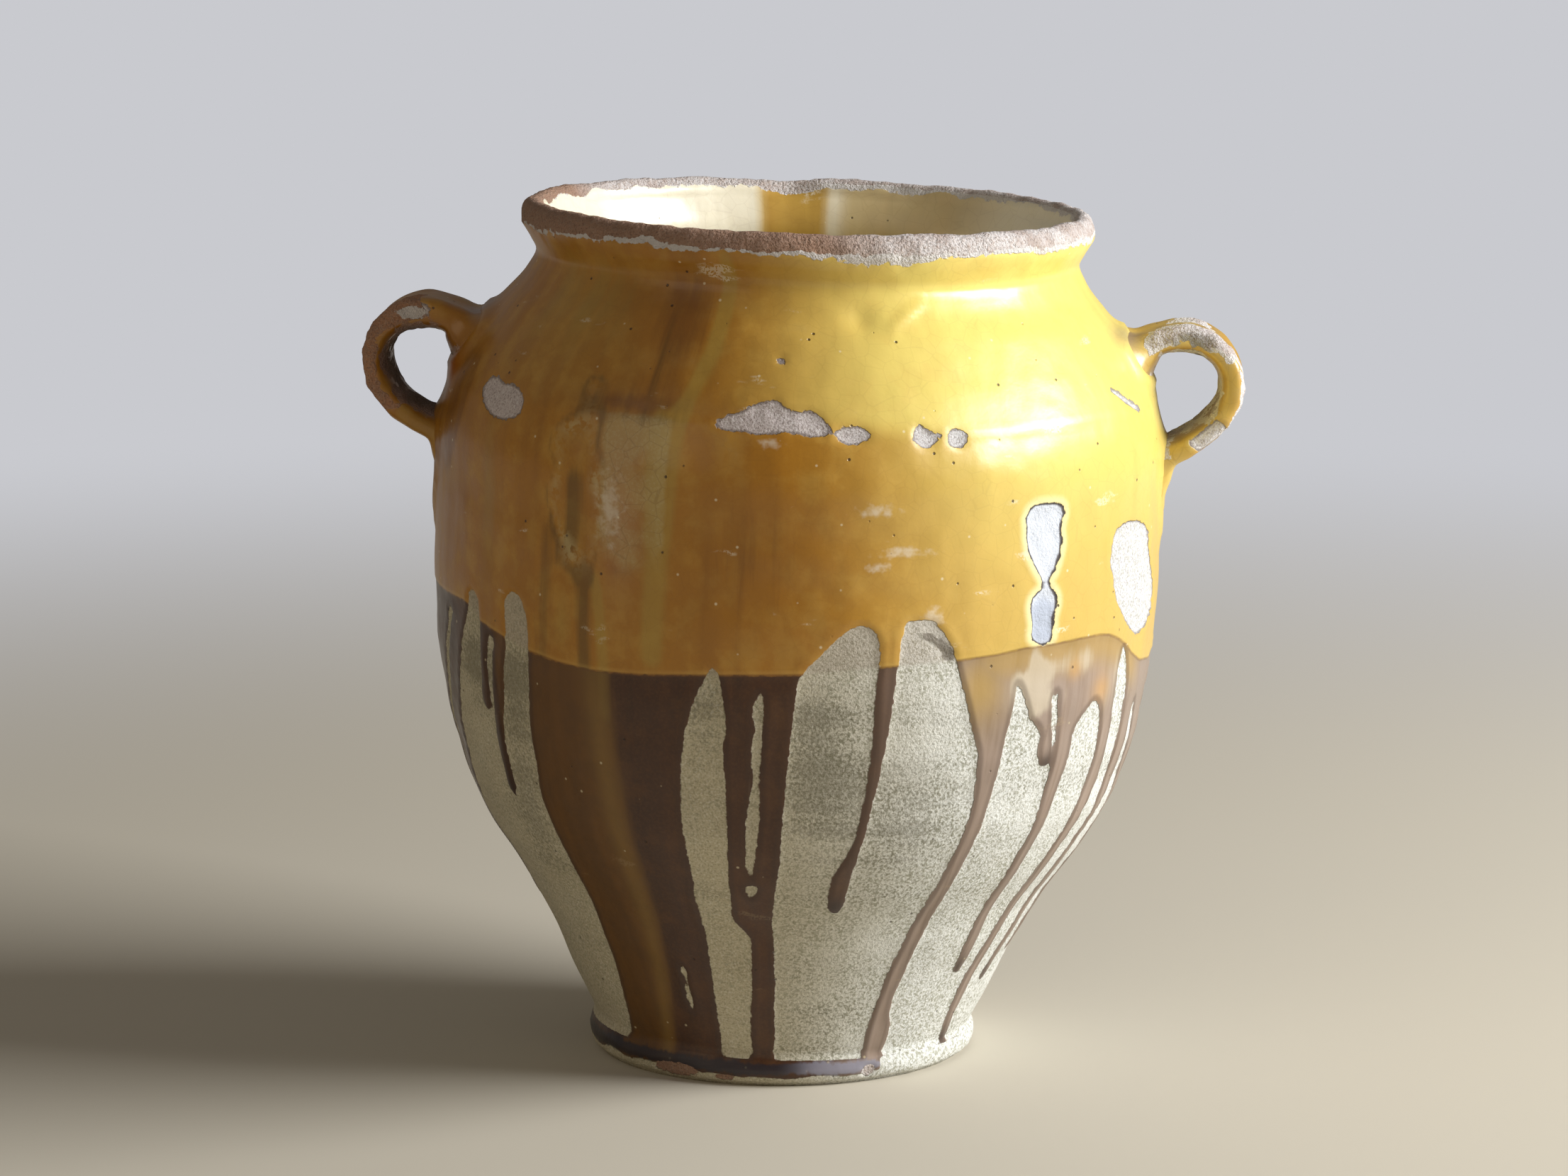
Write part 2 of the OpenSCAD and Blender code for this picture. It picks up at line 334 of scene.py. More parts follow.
metres = section * MM
body = line_object("thrown_body", np.column_stack([metres[:, 0], 0 * metres[:, 0], metres[:, 1]]),
                   reach=metres[:, 0], rise=metres[:, 1], row=np.arange(len(section))[::-1])
body_mesh = baked(body, tree, revolve_inputs)
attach(body, "root")
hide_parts("pot")

# where each point of the body lies: degrees round from the front, mm from the axis and mm up it
turn = (np.degrees(read(body_mesh, "turn")) + 180) % 360 - 180
reach = read(body_mesh, "reach") / MM
height = read(body_mesh, "rise") / MM
row = read(body_mesh, "row")
body_points = np.column_stack([reach * np.sin(np.radians(turn)), -reach * np.cos(np.radians(turn)), height])
turn[reach < 0.01] = 0
level = height < 0.01
strip = np.searchsorted(np.cumsum([len(line) for line in strips]), row, side="right")
underside, outside, on_roll, inside = strip == 0, (strip == 1) | (strip == 2), strip == 3, strip == 4


# Two pulled strap handles
# Each is a strap of clay pulled by hand, with a hollow that the thumb drew down its outside. Its root
# is thumbed on to the shoulder, and its tail is smeared down the belly, so it grows out of the wall.
STRAP_W = 35.0
STRAP_T = 11.0
WIDEST_R = 139.18
ROOT_H = POT_H - 56
TURN_H = POT_H - 92
ARCH_H = POT_H - 45
TAIL_L = 34.0
ROOT_SPREAD = 11.0
POINTS_AROUND = 72
SECTION_POWER = 2.7
GROOVE = 1.7
ROOT_FILLET = 11.0
TAIL_FILLET = 5.0
STRAPS = (
    # name, side, shift, reach from the wall, thickness at the arch, turn-out, seed
    ("right_strap_handle", 1, 0.0, 31.4, 12.8, 3.0, 31),
    ("left_strap_handle", -1, 7.0, 30.6, 14.6, 1.2, 47),
)


def strap_path(reach_out, arch_t, turn_out):
    """Stations of a strap: distance from the axis, height, width and thickness."""
    bend = WIDEST_R + reach_out - STRAP_T / 2
    smear, thinned, tail = TURN_H - TAIL_L * 0.22, TURN_H - TAIL_L * 0.5, TURN_H - TAIL_L
    return [
        (wall_radius(ROOT_H) - 4.5, ROOT_H, STRAP_W + ROOT_SPREAD, arch_t * 1.55),
        (wall_radius(ROOT_H) + 2, ROOT_H + 4.6, STRAP_W + ROOT_SPREAD * 0.5, arch_t * 1.3),
        (bend - 30, ARCH_H - 2.3, STRAP_W + 1, arch_t * 0.95),
        (bend - 18, ARCH_H, STRAP_W - 2, arch_t),
        (bend - 8, ARCH_H - 3.2, STRAP_W - 2, (arch_t + STRAP_T) / 2),
        (bend - 2, ARCH_H - 9.8, STRAP_W - 1, STRAP_T),
        (bend, TURN_H + 29, STRAP_W, STRAP_T),
        (bend - 1.2, TURN_H + 22, STRAP_W, STRAP_T),
        (bend - 4.2, TURN_H + 16.3, STRAP_W + 1, STRAP_T),
        (bend - 9.3, TURN_H + 10.6, STRAP_W + 1, STRAP_T),
        (bend - 16, TURN_H + 6, STRAP_W + 2, STRAP_T * 0.96),
        (wall_radius(TURN_H) + turn_out, TURN_H + 0.6, STRAP_W + 1, STRAP_T * 0.9),
        (wall_radius(smear) + turn_out - 2.7, smear, STRAP_W - 2, STRAP_T * 0.8),
        (wall_radius(thinned) + turn_out - 4.4, thinned, STRAP_W * 0.82, STRAP_T * 0.6),
        (wall_radius(tail) - 4.6, tail, STRAP_W * 0.55, STRAP_T * 0.4),
    ]


strap_inputs = [
    ("Points Around", "Int", POINTS_AROUND), ("Section Power", "Float", 2 / SECTION_POWER),
    ("Groove", "Float", GROOVE * MM), ("Lean", "Float", LEAN), ("Finish", "Material", finish),
    ("Shift", "Vector", (0.0, 0.0, 0.0)), ("Turned", "Float", 0.0),
]
tree = new_tree("sweep_a_strap", strap_inputs)
given = add(tree, "NodeGroupInput").outputs
hoop = add(tree, "GeometryNodeCurvePrimitiveCircle", {"Resolution": given["Points Around"]})
index = add(tree, "GeometryNodeInputIndex")
share = add(tree, "ShaderNodeMath", {0: index, 1: given["Points Around"]}, operation="DIVIDE")
angle = add(tree, "ShaderNodeMath", {0: share, 1: 2 * math.pi}, operation="MULTIPLY")
hoop = add(tree, "GeometryNodeStoreNamedAttribute", {"Geometry": hoop, "Name": "clock", "Value": angle},
           data_type="FLOAT")
middle = add(tree, "GeometryNodeMeshToCurve", {"Mesh": given["Geometry"]})
swept = add(tree, "GeometryNodeCurveToMesh", {"Curve": middle, "Profile Curve": hoop, "Fill Caps": True})
clock, breadth, depth, spine, outward = [
    add(tree, "GeometryNodeInputNamedAttribute", {"Name": name}, data_type=kind)
    for name, kind in (("clock", "FLOAT"), ("breadth", "FLOAT"), ("depth", "FLOAT"),
                       ("spine", "FLOAT_VECTOR"), ("outward", "FLOAT_VECTOR"))
]
squared = []
for wave in ("COSINE", "SINE"):
    plain = add(tree, "ShaderNodeMath", {0: clock}, operation=wave)
    size = add(tree, "ShaderNodeMath", {0: plain}, operation="ABSOLUTE")
    size = add(tree, "ShaderNodeMath", {0: size, 1: given["Section Power"]}, operation="POWER")
    sign = add(tree, "ShaderNodeMath", {0: plain}, operation="SIGN")
    squared.append(add(tree, "ShaderNodeMath", {0: size, 1: sign}, operation="MULTIPLY"))
across, through = squared
# the thumb's hollow lies in the middle of the outside, and the edges beside it stand up
wave = add(tree, "ShaderNodeMath", {0: across, 1: math.pi / 1.5}, operation="MULTIPLY")
wave = add(tree, "ShaderNodeMath", {0: wave}, operation="COSINE")
facing = add(tree, "ShaderNodeMath", {0: through, 1: 0.0}, operation="MAXIMUM")
dip = add(tree, "ShaderNodeMath", {0: wave, 1: facing}, operation="MULTIPLY")
dip = add(tree, "ShaderNodeMath", {0: dip, 1: given["Groove"]}, operation="MULTIPLY")
rise = add(tree, "ShaderNodeMath", {0: through, 1: depth}, operation="MULTIPLY")
rise = add(tree, "ShaderNodeMath", {0: rise, 1: dip}, operation="SUBTRACT")
lateral = add(tree, "ShaderNodeMath", {0: across, 1: breadth}, operation="MULTIPLY")
place = add(tree, "ShaderNodeVectorMath", {0: outward, "Scale": rise}, operation="SCALE")
for further in (add(tree, "ShaderNodeCombineXYZ", {"Y": lateral}), spine, given["Shift"]):
    place = add(tree, "ShaderNodeVectorMath", {0: place, 1: further}, operation="ADD")
for turned, axis in (("Turned", "Z_AXIS"), ("Lean", "Y_AXIS")):
    place = add(tree, "ShaderNodeVectorRotate", {"Vector": place, "Angle": given[turned]}, rotation_type=axis)
shaped = add(tree, "GeometryNodeSetPosition", {"Geometry": swept, "Position": place})
finished(tree, shaped, given["Finish"])


def upright(mesh):
    """Places of a mesh in mm with the pot's lean taken out."""
    p = read(mesh, "co") / MM
    x = p[:, 0] * math.cos(LEAN) - p[:, 2] * math.sin(LEAN)
    z = p[:, 0] * math.sin(LEAN) + p[:, 2] * math.cos(LEAN)
    return np.column_stack([x, p[:, 1], z])


def ramp(values, low, high):
    """A soft step from 0 at low to 1 at high."""
    t = np.clip((values - low) / (high - low), 0, 1)
    return t * t * (3 - 2 * t)


def fillet(gap, height):
    """How far a surface swells at a height, to run smoothly into another one that is gap mm away."""
    size = TAIL_FILLET + (ROOT_FILLET - TAIL_FILLET) * ramp(height, 235, 255)
    gap = np.maximum(gap, size / 4)
    return np.where(gap < size, gap + size - 2 * np.sqrt(size * gap), 0.0)


# the only part of the wall that is near enough to a strap to swell towards it
wall_x, wall_y, _ = upright(body_mesh).T
beside = outside & (abs(wall_x) > 80) & (abs(wall_y) < 60) & (height > 180) & (height < 312)
to_strap = np.full(len(turn), 99.0)
places = read(body_mesh, "co")
straps = []
for name, side, shift, reach_out, arch_t, turn_out, seed in STRAPS:
    path = respaced(smooth_curve(strap_path(reach_out, arch_t, turn_out), 12), 1.25)
    run = np.gradient(path[:, :2], axis=0)
    run /= np.linalg.norm(run, axis=1)[:, None]
    along = np.concatenate([[0], np.cumsum(np.linalg.norm(np.diff(path[:, :2], axis=0), axis=1))])
    zero = 0 * along
    points = np.column_stack([path[:, 0], zero, path[:, 1]]) * MM
    strap = line_object(name, points, spine=points, along=along,
                        outward=np.column_stack([-run[:, 1], zero, run[:, 0]]),
                        breadth=path[:, 2] / 2 * MM, depth=path[:, 3] / 2 * MM)
    baked(strap, tree, strap_inputs + [("Shift", "Vector", (0.0, shift * MM, 0.0)),
                                       ("Turned", "Float", math.pi * (side < 0))])
    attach(strap, "root")
    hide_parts("pot")
    straps.append((strap, side, seed))
    faces = [face.vertices for face in strap.data.polygons]
    skin = BVHTree.FromPolygons([corner.co for corner in strap.data.vertices], faces)
    for i in np.flatnonzero(beside & (wall_x * side > 0)):
        spot, _, _, gap = skin.find_nearest(Vector(places[i]), 0.03)
        if spot is not None:
            to_strap[i] = min(to_strap[i], gap / MM)


# The slip, the yellow glaze and its runs
# The pot was dipped upside down in white slip as far as the tide line, and then glazed further down.
# Over slip the lead glaze is yellow, and over bare clay brown, where it broke into runs as it melted.

# outlines of the clay that the glaze didn't reach: (degrees round from the front, height in mm)
LEFT_FIELD = [
    (-50, 11), (-47.5, 18), (-45.8, 26), (-44.6, 38), (-44, 50), (-43.4, 68), (-43.3, 85), (-44, 104),
    (-44.5, 116), (-44, 126), (-43.8, 142), (-43.3, 156), (-43, 170), (-43, 180), (-43.8, 187),
    (-45, 190.5), (-46.5, 191.5), (-48, 189), (-48.5, 182), (-48.5, 172), (-49.5, 160), (-50.3, 150),
    (-51.5, 138), (-52, 128), (-52.2, 117), (-52.6, 111), (-53.4, 109), (-54.4, 111), (-54.6, 120),
    (-54.2, 135), (-53.9, 146), (-53.2, 156), (-52.4, 166), (-52.2, 171), (-53, 172.5), (-53.9, 168),
    (-54.5, 158), (-54.8, 148), (-55.2, 143), (-56.2, 142), (-57.2, 144), (-57, 152), (-56.3, 162),
    (-56.2, 172), (-56.3, 181), (-57, 186), (-58.2, 188), (-59.4, 186), (-60.3, 180), (-62, 172),
    (-64, 161), (-66, 150), (-68, 138), (-70.5, 126), (-72, 116), (-73.5, 104), (-75, 98), (-76.5, 104),
    (-76.8, 116), (-75.5, 128), (-73.6, 140), (-71.7, 152), (-70, 162), (-68.3, 172), (-67.6, 176),
    (-68.6, 177), (-70.2, 170), (-72.3, 160), (-74.5, 148), (-76.8, 134), (-78.6, 120), (-79.5, 104),
    (-80, 84), (-81, 62), (-82.5, 56), (-84, 62), (-84.6, 84), (-84.5, 110), (-84, 135), (-85, 152),
    (-87, 165), (-89.5, 170), (-92, 164), (-93.5, 148), (-94.5, 120), (-95, 80), (-95.5, 40),
    (-95.5, 11),
]
LENS_SLIT = [(-22.3, 49.5), (-21.6, 46), (-21.9, 40), (-21.5, 35), (-22, 30), (-22.8, 33), (-22.9, 39),
             (-22.5, 43), (-23, 46)]
LEFT_TONGUE = [
    (-9.7, 173.5), (-10.6, 170), (-12.3, 162), (-13.5, 153), (-14.4, 143), (-15, 131), (-15.4, 118),
    (-15.2, 100), (-15, 88), (-15.4, 80), (-15, 68), (-14.9, 50), (-15, 35), (-14.8, 20), (-14.6, 11),
    (-6.8, 11), (-6.1, 20), (-5.8, 30), (-5.2, 40), (-5, 52), (-4.8, 60), (-5.2, 64.5), (-6.6, 67.5),
    (-7.9, 70.5), (-8.2, 80), (-8.1, 92), (-7.8, 105), (-7.7, 118), (-7.7, 130), (-8, 142),
    (-7.5, 152), (-7.9, 160), (-8.5, 168), (-9, 172),
]
NARROW_SLIT = [
    (-2.3, 165.5), (-3, 162), (-3.5, 158), (-3, 152), (-3.4, 146), (-3.5, 138), (-3.3, 130),
    (-4, 122), (-4.6, 112), (-4.7, 102), (-4.6, 94), (-4, 91.5), (-3.4, 96), (-2.8, 104), (-2.4, 112),
    (-2.2, 122), (-2.3, 132), (-2, 144), (-1.9, 152), (-1.7, 160),
]
SLIT_DROP = [(-4.8, 87.5), (-3.1, 87.5), (-4.3, 82.5)]
MIDDLE_FIELD = [
    (0.6, 11), (0.8, 20), (0.4, 32), (0.5, 42), (0.3, 52), (0.1, 62), (-0.2, 71), (0.2, 80),
    (0.6, 88), (1.2, 97), (1.4, 108), (1.8, 124), (2.2, 140), (2.6, 152), (3, 163), (3.4, 170),
    (4.3, 174), (6, 178.5), (8, 184), (10, 188.5), (11.5, 190.8), (12.8, 191.2), (14.2, 189.5),
    (15.2, 185), (15.4, 178), (15.1, 168), (15.1, 152), (14.9, 136), (14.5, 122), (13.9, 111),
    (13, 103), (12, 98), (11, 93.5), (10.6, 87), (10.7, 80), (11.4, 76.8), (12.6, 76.3), (13.6, 79),
    (13.9, 86), (14.3, 94), (14.8, 101), (15.5, 112), (16.3, 126), (17, 140), (17.5, 152), (18, 166),
    (18.5, 180), (18.9, 188), (19.8, 192.3), (21.5, 193), (23.3, 192.8), (24.6, 190), (26, 186),
    (27.2, 181), (28.3, 173), (29.6, 164), (30.8, 155), (32, 147.5), (33, 142), (33.3, 134),
    (33.7, 127), (33.8, 117), (33.2, 108), (32.7, 99), (32.2, 90), (31.4, 79), (30.4, 68), (29.5, 57),
    (28.6, 48), (27.9, 38), (27.2, 28), (26.8, 19), (26.6, 11),
]
RIGHT_FIELD = [
    (33.8, 11), (34.2, 18), (34, 24), (33, 28), (32.4, 33), (32.5, 39), (33, 43), (33.4, 50),
    (33.8, 58), (34.6, 69), (35.2, 80), (35.7, 91), (36.2, 102), (36.9, 114), (37.4, 127), (37.8, 140),
    (38.2, 151), (38.8, 160), (39.4, 166.5), (40.2, 163.5), (41.3, 157.5), (42.7, 151.5),
    (44.3, 148.8), (45.1, 146.5), (45.4, 140), (46, 135), (47.2, 132.2), (48.3, 132.5), (48.8, 136),
    (48.4, 142), (47.6, 148), (47, 154), (46.9, 160), (47.5, 161.5), (48.1, 156), (48.6, 149),
    (49.1, 142), (49.3, 134), (49.4, 122), (49.5, 110), (49.1, 98), (48.6, 86), (48.6, 75),
    (48.9, 64), (49.2, 53), (49.9, 45.5), (50.8, 42.8), (52, 43), (52.9, 46), (53, 54), (52.5, 64),
    (51.8, 76), (51.8, 88), (52.2, 100), (52.6, 112), (53.1, 124), (53.4, 136), (53.6, 146),
    (54.8, 150), (56.3, 153.5), (57.5, 155.3), (58.8, 153.5), (59.8, 150), (60.8, 143), (61.5, 133),
    (61.7, 124), (61.2, 112), (60.4, 101), (59.4, 91), (58.7, 79), (58.7, 68), (58, 58), (57, 47),
    (56.1, 36), (55.8, 26), (56.6, 18), (57.6, 13), (57.8, 11),
]
FAR_RIGHT_FIELD = [
    (60.8, 11), (60.9, 15), (59.8, 21), (60, 30), (60.8, 42), (61.5, 56), (62.2, 68), (62.4, 80),
    (63, 90), (64.3, 101), (65.8, 112), (66.6, 121), (65.6, 131), (65.2, 142), (64.3, 150),
    (63.9, 158), (64.6, 167), (65.5, 173), (66.5, 170), (67.7, 162), (68.4, 152), (69.1, 142),
    (69.6, 131), (70.2, 121), (70.4, 110), (69.6, 101), (68.2, 92), (67.3, 82), (67.9, 72), (68, 62),
    (67.2, 52), (66, 43), (65.3, 37.5), (66.3, 35.5), (68, 37), (69.4, 42), (70.3, 50), (71.5, 60),
    (71.6, 72), (70.8, 82), (71, 92), (72.5, 101), (74.6, 110), (75.7, 120), (75.2, 132),
    (74.5, 144), (74.8, 149), (76.2, 143), (77.5, 132), (79, 118), (79.5, 102), (78.5, 88), (77, 74),
    (76, 60), (75, 48), (76, 44), (77.5, 48), (79, 60), (80.5, 76), (82, 92), (83.5, 108), (85, 128),
    (87, 146), (89, 156), (91, 150), (92.5, 134), (93, 112), (93.5, 80), (94, 40), (94, 11),
]
# the back isn't seen in the photograph: its bare tongues and the drips in them are like the front's
BACK_TONGUES = [
    # left, right, top, and how far the top leans
    (97, 112, 184, 1.5), (116, 121, 168, -0.5), (125, 143, 191, 2.5), (147, 152, 158, 0.5),
    (170, 190, 187, -2), (194, 199, 171, 1), (203, 224, 181, 1), (229, 236, 165, -1), (241, 259, 189, -1.5),
]
BACK_DRIPS = [
    # middle, half width, lowest point
    (104.5, 1.0, 92), (131, 1.3, 64), (138.5, 0.8, 124), (176.5, 1.1, 108), (184, 1.0, 71),
    (209, 1.2, 86), (217.5, 0.9, 131), (247, 1.1, 78), (253.5, 0.9, 119),
]
# how far up the slip ends, and the outlines of the chips in the glaze
TIDE_LINE = [
    (-180, 172), (-150, 166), (-125, 173), (-100, 179), (-80, 182), (-61, 182), (-56, 176.5),
    (-48.7, 173), (-43, 170.3), (-36, 168.5), (-30, 167.7), (-25, 168), (-20, 168.7), (-12, 170.3),
    (-5, 171.3), (3.5, 172.5), (9, 174), (15, 175.5), (22, 176.5), (27, 177), (35, 178.3),
    (40, 179.8), (46, 180), (52, 180.6), (57, 180.6), (60, 179.5), (63, 177), (66, 173.5),
    (69, 169), (73, 165), (80, 163), (100, 170), (130, 176), (155, 175), (180, 172),
]
CHIPS = [
    [(-60.5, 264), (-59, 267.3), (-57, 268), (-55.5, 266.5), (-52, 266.7), (-49, 265), (-47.3, 262),
     (-47.2, 258), (-48.5, 255.5), (-52, 254), (-55, 254.6), (-58, 257.3), (-59.8, 260.5)],
    [(-10.7, 262.8), (-9, 265.5), (-6.5, 267), (-5, 269.6), (-3, 270.3), (-1.6, 271.3), (-0.5, 269.3),
     (1.5, 267.5), (3, 267.8), (5, 267), (6.2, 264.5), (6.9, 261.5), (6.4, 259.4), (4.5, 258.8),
     (2, 260), (-2, 259.6), (-4, 258.8), (-6, 259.7), (-9, 259.8), (-10.6, 260.6)],
    [(7.5, 260.4), (9, 262.6), (11, 263), (12.8, 261.6), (13.3, 259.3), (12, 257.4), (10, 256.4), (8, 258.4)],
    [(20.1, 261), (21, 263.8), (22, 263), (23, 261), (24.8, 260.8), (24, 258), (22.1, 255.1), (20.5, 256.5)],
    [(25.7, 259.5), (26.4, 261.8), (28.6, 261.8), (29.2, 259), (28.4, 255.8), (26.6, 255.2)],
    [(-2.2, 284.2), (-1.3, 285.4), (-0.2, 284.2), (-1, 282.8)],
    [(63.9, 270.5), (66, 269.5), (69, 265.5), (72.6, 260.6), (72, 259.4), (69.5, 261.8), (66, 266.5)],
    [(40.1, 231), (41.5, 233), (44, 233.2), (46.6, 232.4), (47.6, 229), (47, 223.5), (47.3, 218),
     (46.5, 212), (45.7, 207.5), (44.7, 204), (44.9, 201.6), (46, 199.2), (46.3, 195), (45.5, 190),
     (45.6, 184), (45, 181), (43.5, 180), (42, 181.3), (41, 184), (41.2, 188), (40.8, 193),
     (41, 197.5), (42, 200), (43.2, 202), (43.1, 204), (42.2, 207.5), (41, 212), (40.1, 217), (39.9, 224)],
    [(60.2, 216), (61.5, 219.5), (64, 221), (66.5, 220.8), (70, 219.5), (72.3, 217.5), (74.2, 213.5),
     (75.2, 208), (76.7, 202), (78.2, 196), (79.3, 190), (79, 185), (77.5, 181), (75, 178),
     (72.5, 176.4), (70.3, 176), (68, 178), (66, 181), (64.3, 184.5), (62.5, 188.5), (61, 193.5),
     (60.3, 200), (59.5, 205), (59.4, 210)],
    [(-111, 246), (-108, 251), (-103, 252), (-100, 248), (-101, 243), (-106, 241)],
    [(148, 258), (151, 262), (158, 263), (165, 260.5), (167, 257), (160, 256), (153, 255.5)],
    [(196, 210), (199, 214), (203, 211), (203, 204), (199, 200), (196, 204)],
]
# the small crack near the top of the tongue at the right
CRACK = [(20.9, 187), (22.3, 187.3), (24.2, 186.1), (25.8, 183), (27, 178), (26.4, 177.8), (25.1, 182.3),
         (23.8, 184.9), (22.4, 186.4)]

# soft patches of each tint: strength, middle in degrees and mm, spread in degrees and mm
PATCHES = {
    # the first amber patch, high on the front left under the rim, is partly the glaze's own amber and partly
    # a painted shadow of the rim
    "amber": [(1.05, -20, 296, 7, 22), (0.35, -33, 300, 12, 18), (0.5, -22, 268, 12, 9),
              (0.75, -4, 212, 13, 38), (0.3, -66, 235, 8, 40), (0.5, -27, 266.5, 12, 2.6),
              (0.6, -25, 206, 2.6, 3.5), (0.4, 150, 280, 20, 30), (0.4, 215, 240, 14, 50)],
    "green": [(0.5, -43, 300, 13, 18), (0.3, -52, 225, 7, 30), (0.5, -36, 183, 4, 14),
              (0.5, 120, 210, 5, 60)],
    "olive": [(0.5, -22, 262, 10, 3)],
    "rosy": [(1, -25.5, 226, 3.6, 26)],
    "milky": [(0.6, -145, 100, 25, 90)],
    "honey": [(0.5, 160, 100, 6, 80)],
    "cloudy": [(0.5, 54, 172, 3, 6), (0.5, 64, 160, 4, 16)],
    "orange": [(0.55, 59, 159, 2.4, 6), (0.5, 51.5, 169, 1.5, 4), (1, -77.5, 264.5, 3.5, 6)],
    "pooled": [(1, 12.2, 79, 1.6, 5), (1, 47.7, 134, 1.6, 4), (1, 51, 46, 1.6, 5), (1, 66.3, 39, 1.6, 5),
               (1, 58.4, 14, 2, 5), (1, -53.4, 112, 1.4, 5)],
    "smoky": [(1, -86, 284, 8, 6), (0.8, 82, 284, 5, 4)],
    "blister": [(0.7, 43.5, 222, 7, 30), (0.9, 43.5, 187, 6, 14)],
    "stain": [(0.5, -47, 152, 5, 24), (0.45, -59, 160, 5, 24), (0.35, -50, 108, 7, 26), (0.4, 8, 132, 7, 30),
              (0.25, 5, 154, 5, 14), (0.3, 23, 112, 9, 20), (0.35, 14, 26, 16, 14), (0.3, -11, 150, 4, 18),
              (0.4, 176, 120, 20, 40), (0.5, -118, 150, 16, 30), (0.4, 118, 60, 20, 40)],
    "smeared": [(0.7, 14.5, 233, 4, 3), (0.75, 19, 218, 5, 2.2), (0.8, 23.5, 194, 2.4, 4),
                (0.7, -2, 256, 2.5, 2), (0.7, 34, 256.5, 2.5, 2), (0.65, 15, 212, 2.5, 2.5),
                (0.6, -27, 229, 3, 18)],
    "flaked": [(2, -30, 322, 8, 30), (3, 164, 326, 5, 9)],
}
# soft stripes of each tint: strength, width in degrees, path of (degrees, mm) from the top down
STRIPES = {
    "amber": [(0.4, 0.9, [(-41.5, 262), (-41, 225), (-38, 200), (-37, 170)])],
    "green": [(1.0, 1.7, [(-13.5, 321), (-13.1, 310), (-13.6, 287), (-15.6, 271), (-17.1, 261)]),
              (0.9, 2.0, [(-16.9, 265), (-17.8, 235), (-18.7, 214), (-19.2, 192), (-19.3, 172)]),
              (0.9, 1.2, [(-29.3, 204), (-27.9, 186), (-27.5, 170), (-27.4, 148)]),
              (0.8, 1.4, [(-20, 264), (-19.6, 218)])],
    "olive": [(1.0, 1.7, [(-33.6, 241), (-34.2, 210)]), (0.8, 1.5, [(-31.8, 208), (-30.6, 150)]),
              (0.55, 1.6, [(-38.6, 222), (-39.6, 162)]), (0.4, 1.0, [(-23, 300), (-22, 268)])],
    "stain": [(1.3, 0.4, [(21.5, 187), (24.6, 183.5), (27, 177)])],
}
# the left edge of the honey-coloured field, and of the amber shade beside the left root: mm, degrees
HONEY_SIDE = [(13, -30.3), (33, -27.5), (48, -26.4), (68, -25.5), (86, -25), (124, -25.4), (162, -26.3),
              (180, -26.8)]
ROOT_SHADE = [(228, -70.2), (236, -67.7), (245, -65.4), (254, -64.5), (262, -64.3), (269, -65.6),
              (275, -67.5)]
# the oval scar at the left: middle and half size in degrees and mm
SCAR = (-33.2, 235, 4.4, 25)
# where the bare clay starts above the foot and the worn clay on the rim, and how far above the rim's
# middle it is worn on the inside, in mm
FOOT_LINE = 10.6
RIM_WEAR = 321.4
WEAR_INSIDE = 3.6
# chips at the far side of the rim and along the foot, and the dent on the shoulder, as patches
FAR_CHIP = (187, 327, 5, 6)
FOOT_CHIPS = [(1, -30, 4, 9, 3), (1, 29, 5.5, 2.6, 3), (0.9, -14, 3, 4, 1.6)]
DENT = (13.6, 299, 3, 5)
BLISTER = (43.5, 208, 6.5, 32)
# how far things stand out or lie deep, in mm
GLAZE_STEP, SLIP_STEP, TIDE_BEAD, LIP_BEAD, BLISTER_TALL = 0.35, 0.4, 0.25, 0.3, 0.5
CHIP_DEEP, FAR_CHIP_DEEP, FOOT_CHIP_DEEP, CRACK_DEEP, DENT_DEEP = 0.75, 2.2, 0.9, 0.5, 1.3
# the slanting ridge on the shoulder, and the low one round the belly
SHOULDER_RIDGE = (0.9, 1.6, [(27, 305), (23, 301), (18.5, 295)])
BELLY_RIDGE_H = 260.5
# what a distance says where its outline is far away, in mm
NOWHERE = -14.0


def peak(values, middle, spread):
    """A soft rise to 1 where the values are near the middle."""
    return np.exp(-(((values - middle) / spread) ** 2))


def raised(mesh, lift, level=False):
    """Move a mesh out along its normals by so many mm at each point, and keep its foot level."""
    moved = read(mesh, "co") + read(mesh, "normal") * (lift * MM)[:, None]
    moved[:, 2] = np.where(level, 0.0, np.maximum(moved[:, 2], 0))
    mesh.vertices.foreach_set("co", moved.astype(np.float32).ravel())
    mesh.update()


def between(values, start, opened, closing, end):
    """A soft rise from 0 to 1 between the first two values, and a soft fall between the last two."""
    return ramp(values, start, opened) * (1 - ramp(values, closing, end))


def ripple(points, size, seed):
    """A smooth random field of about unit height whose bumps are about size mm across."""
    random = np.random.default_rng(seed)
    total = np.zeros(len(points))
    waves = 18
    for _ in range(waves):
        way = random.normal(size=points.shape[1])
        way *= random.uniform(0.6, 1.4) * math.pi / size / np.linalg.norm(way)
        total += np.sin(points @ way + random.uniform(0, 2 * math.pi))
    return total / math.sqrt(waves / 2)


def rippled(size, seed):
    """The same on the body's own wall."""
    return ripple(body_points, size, seed)


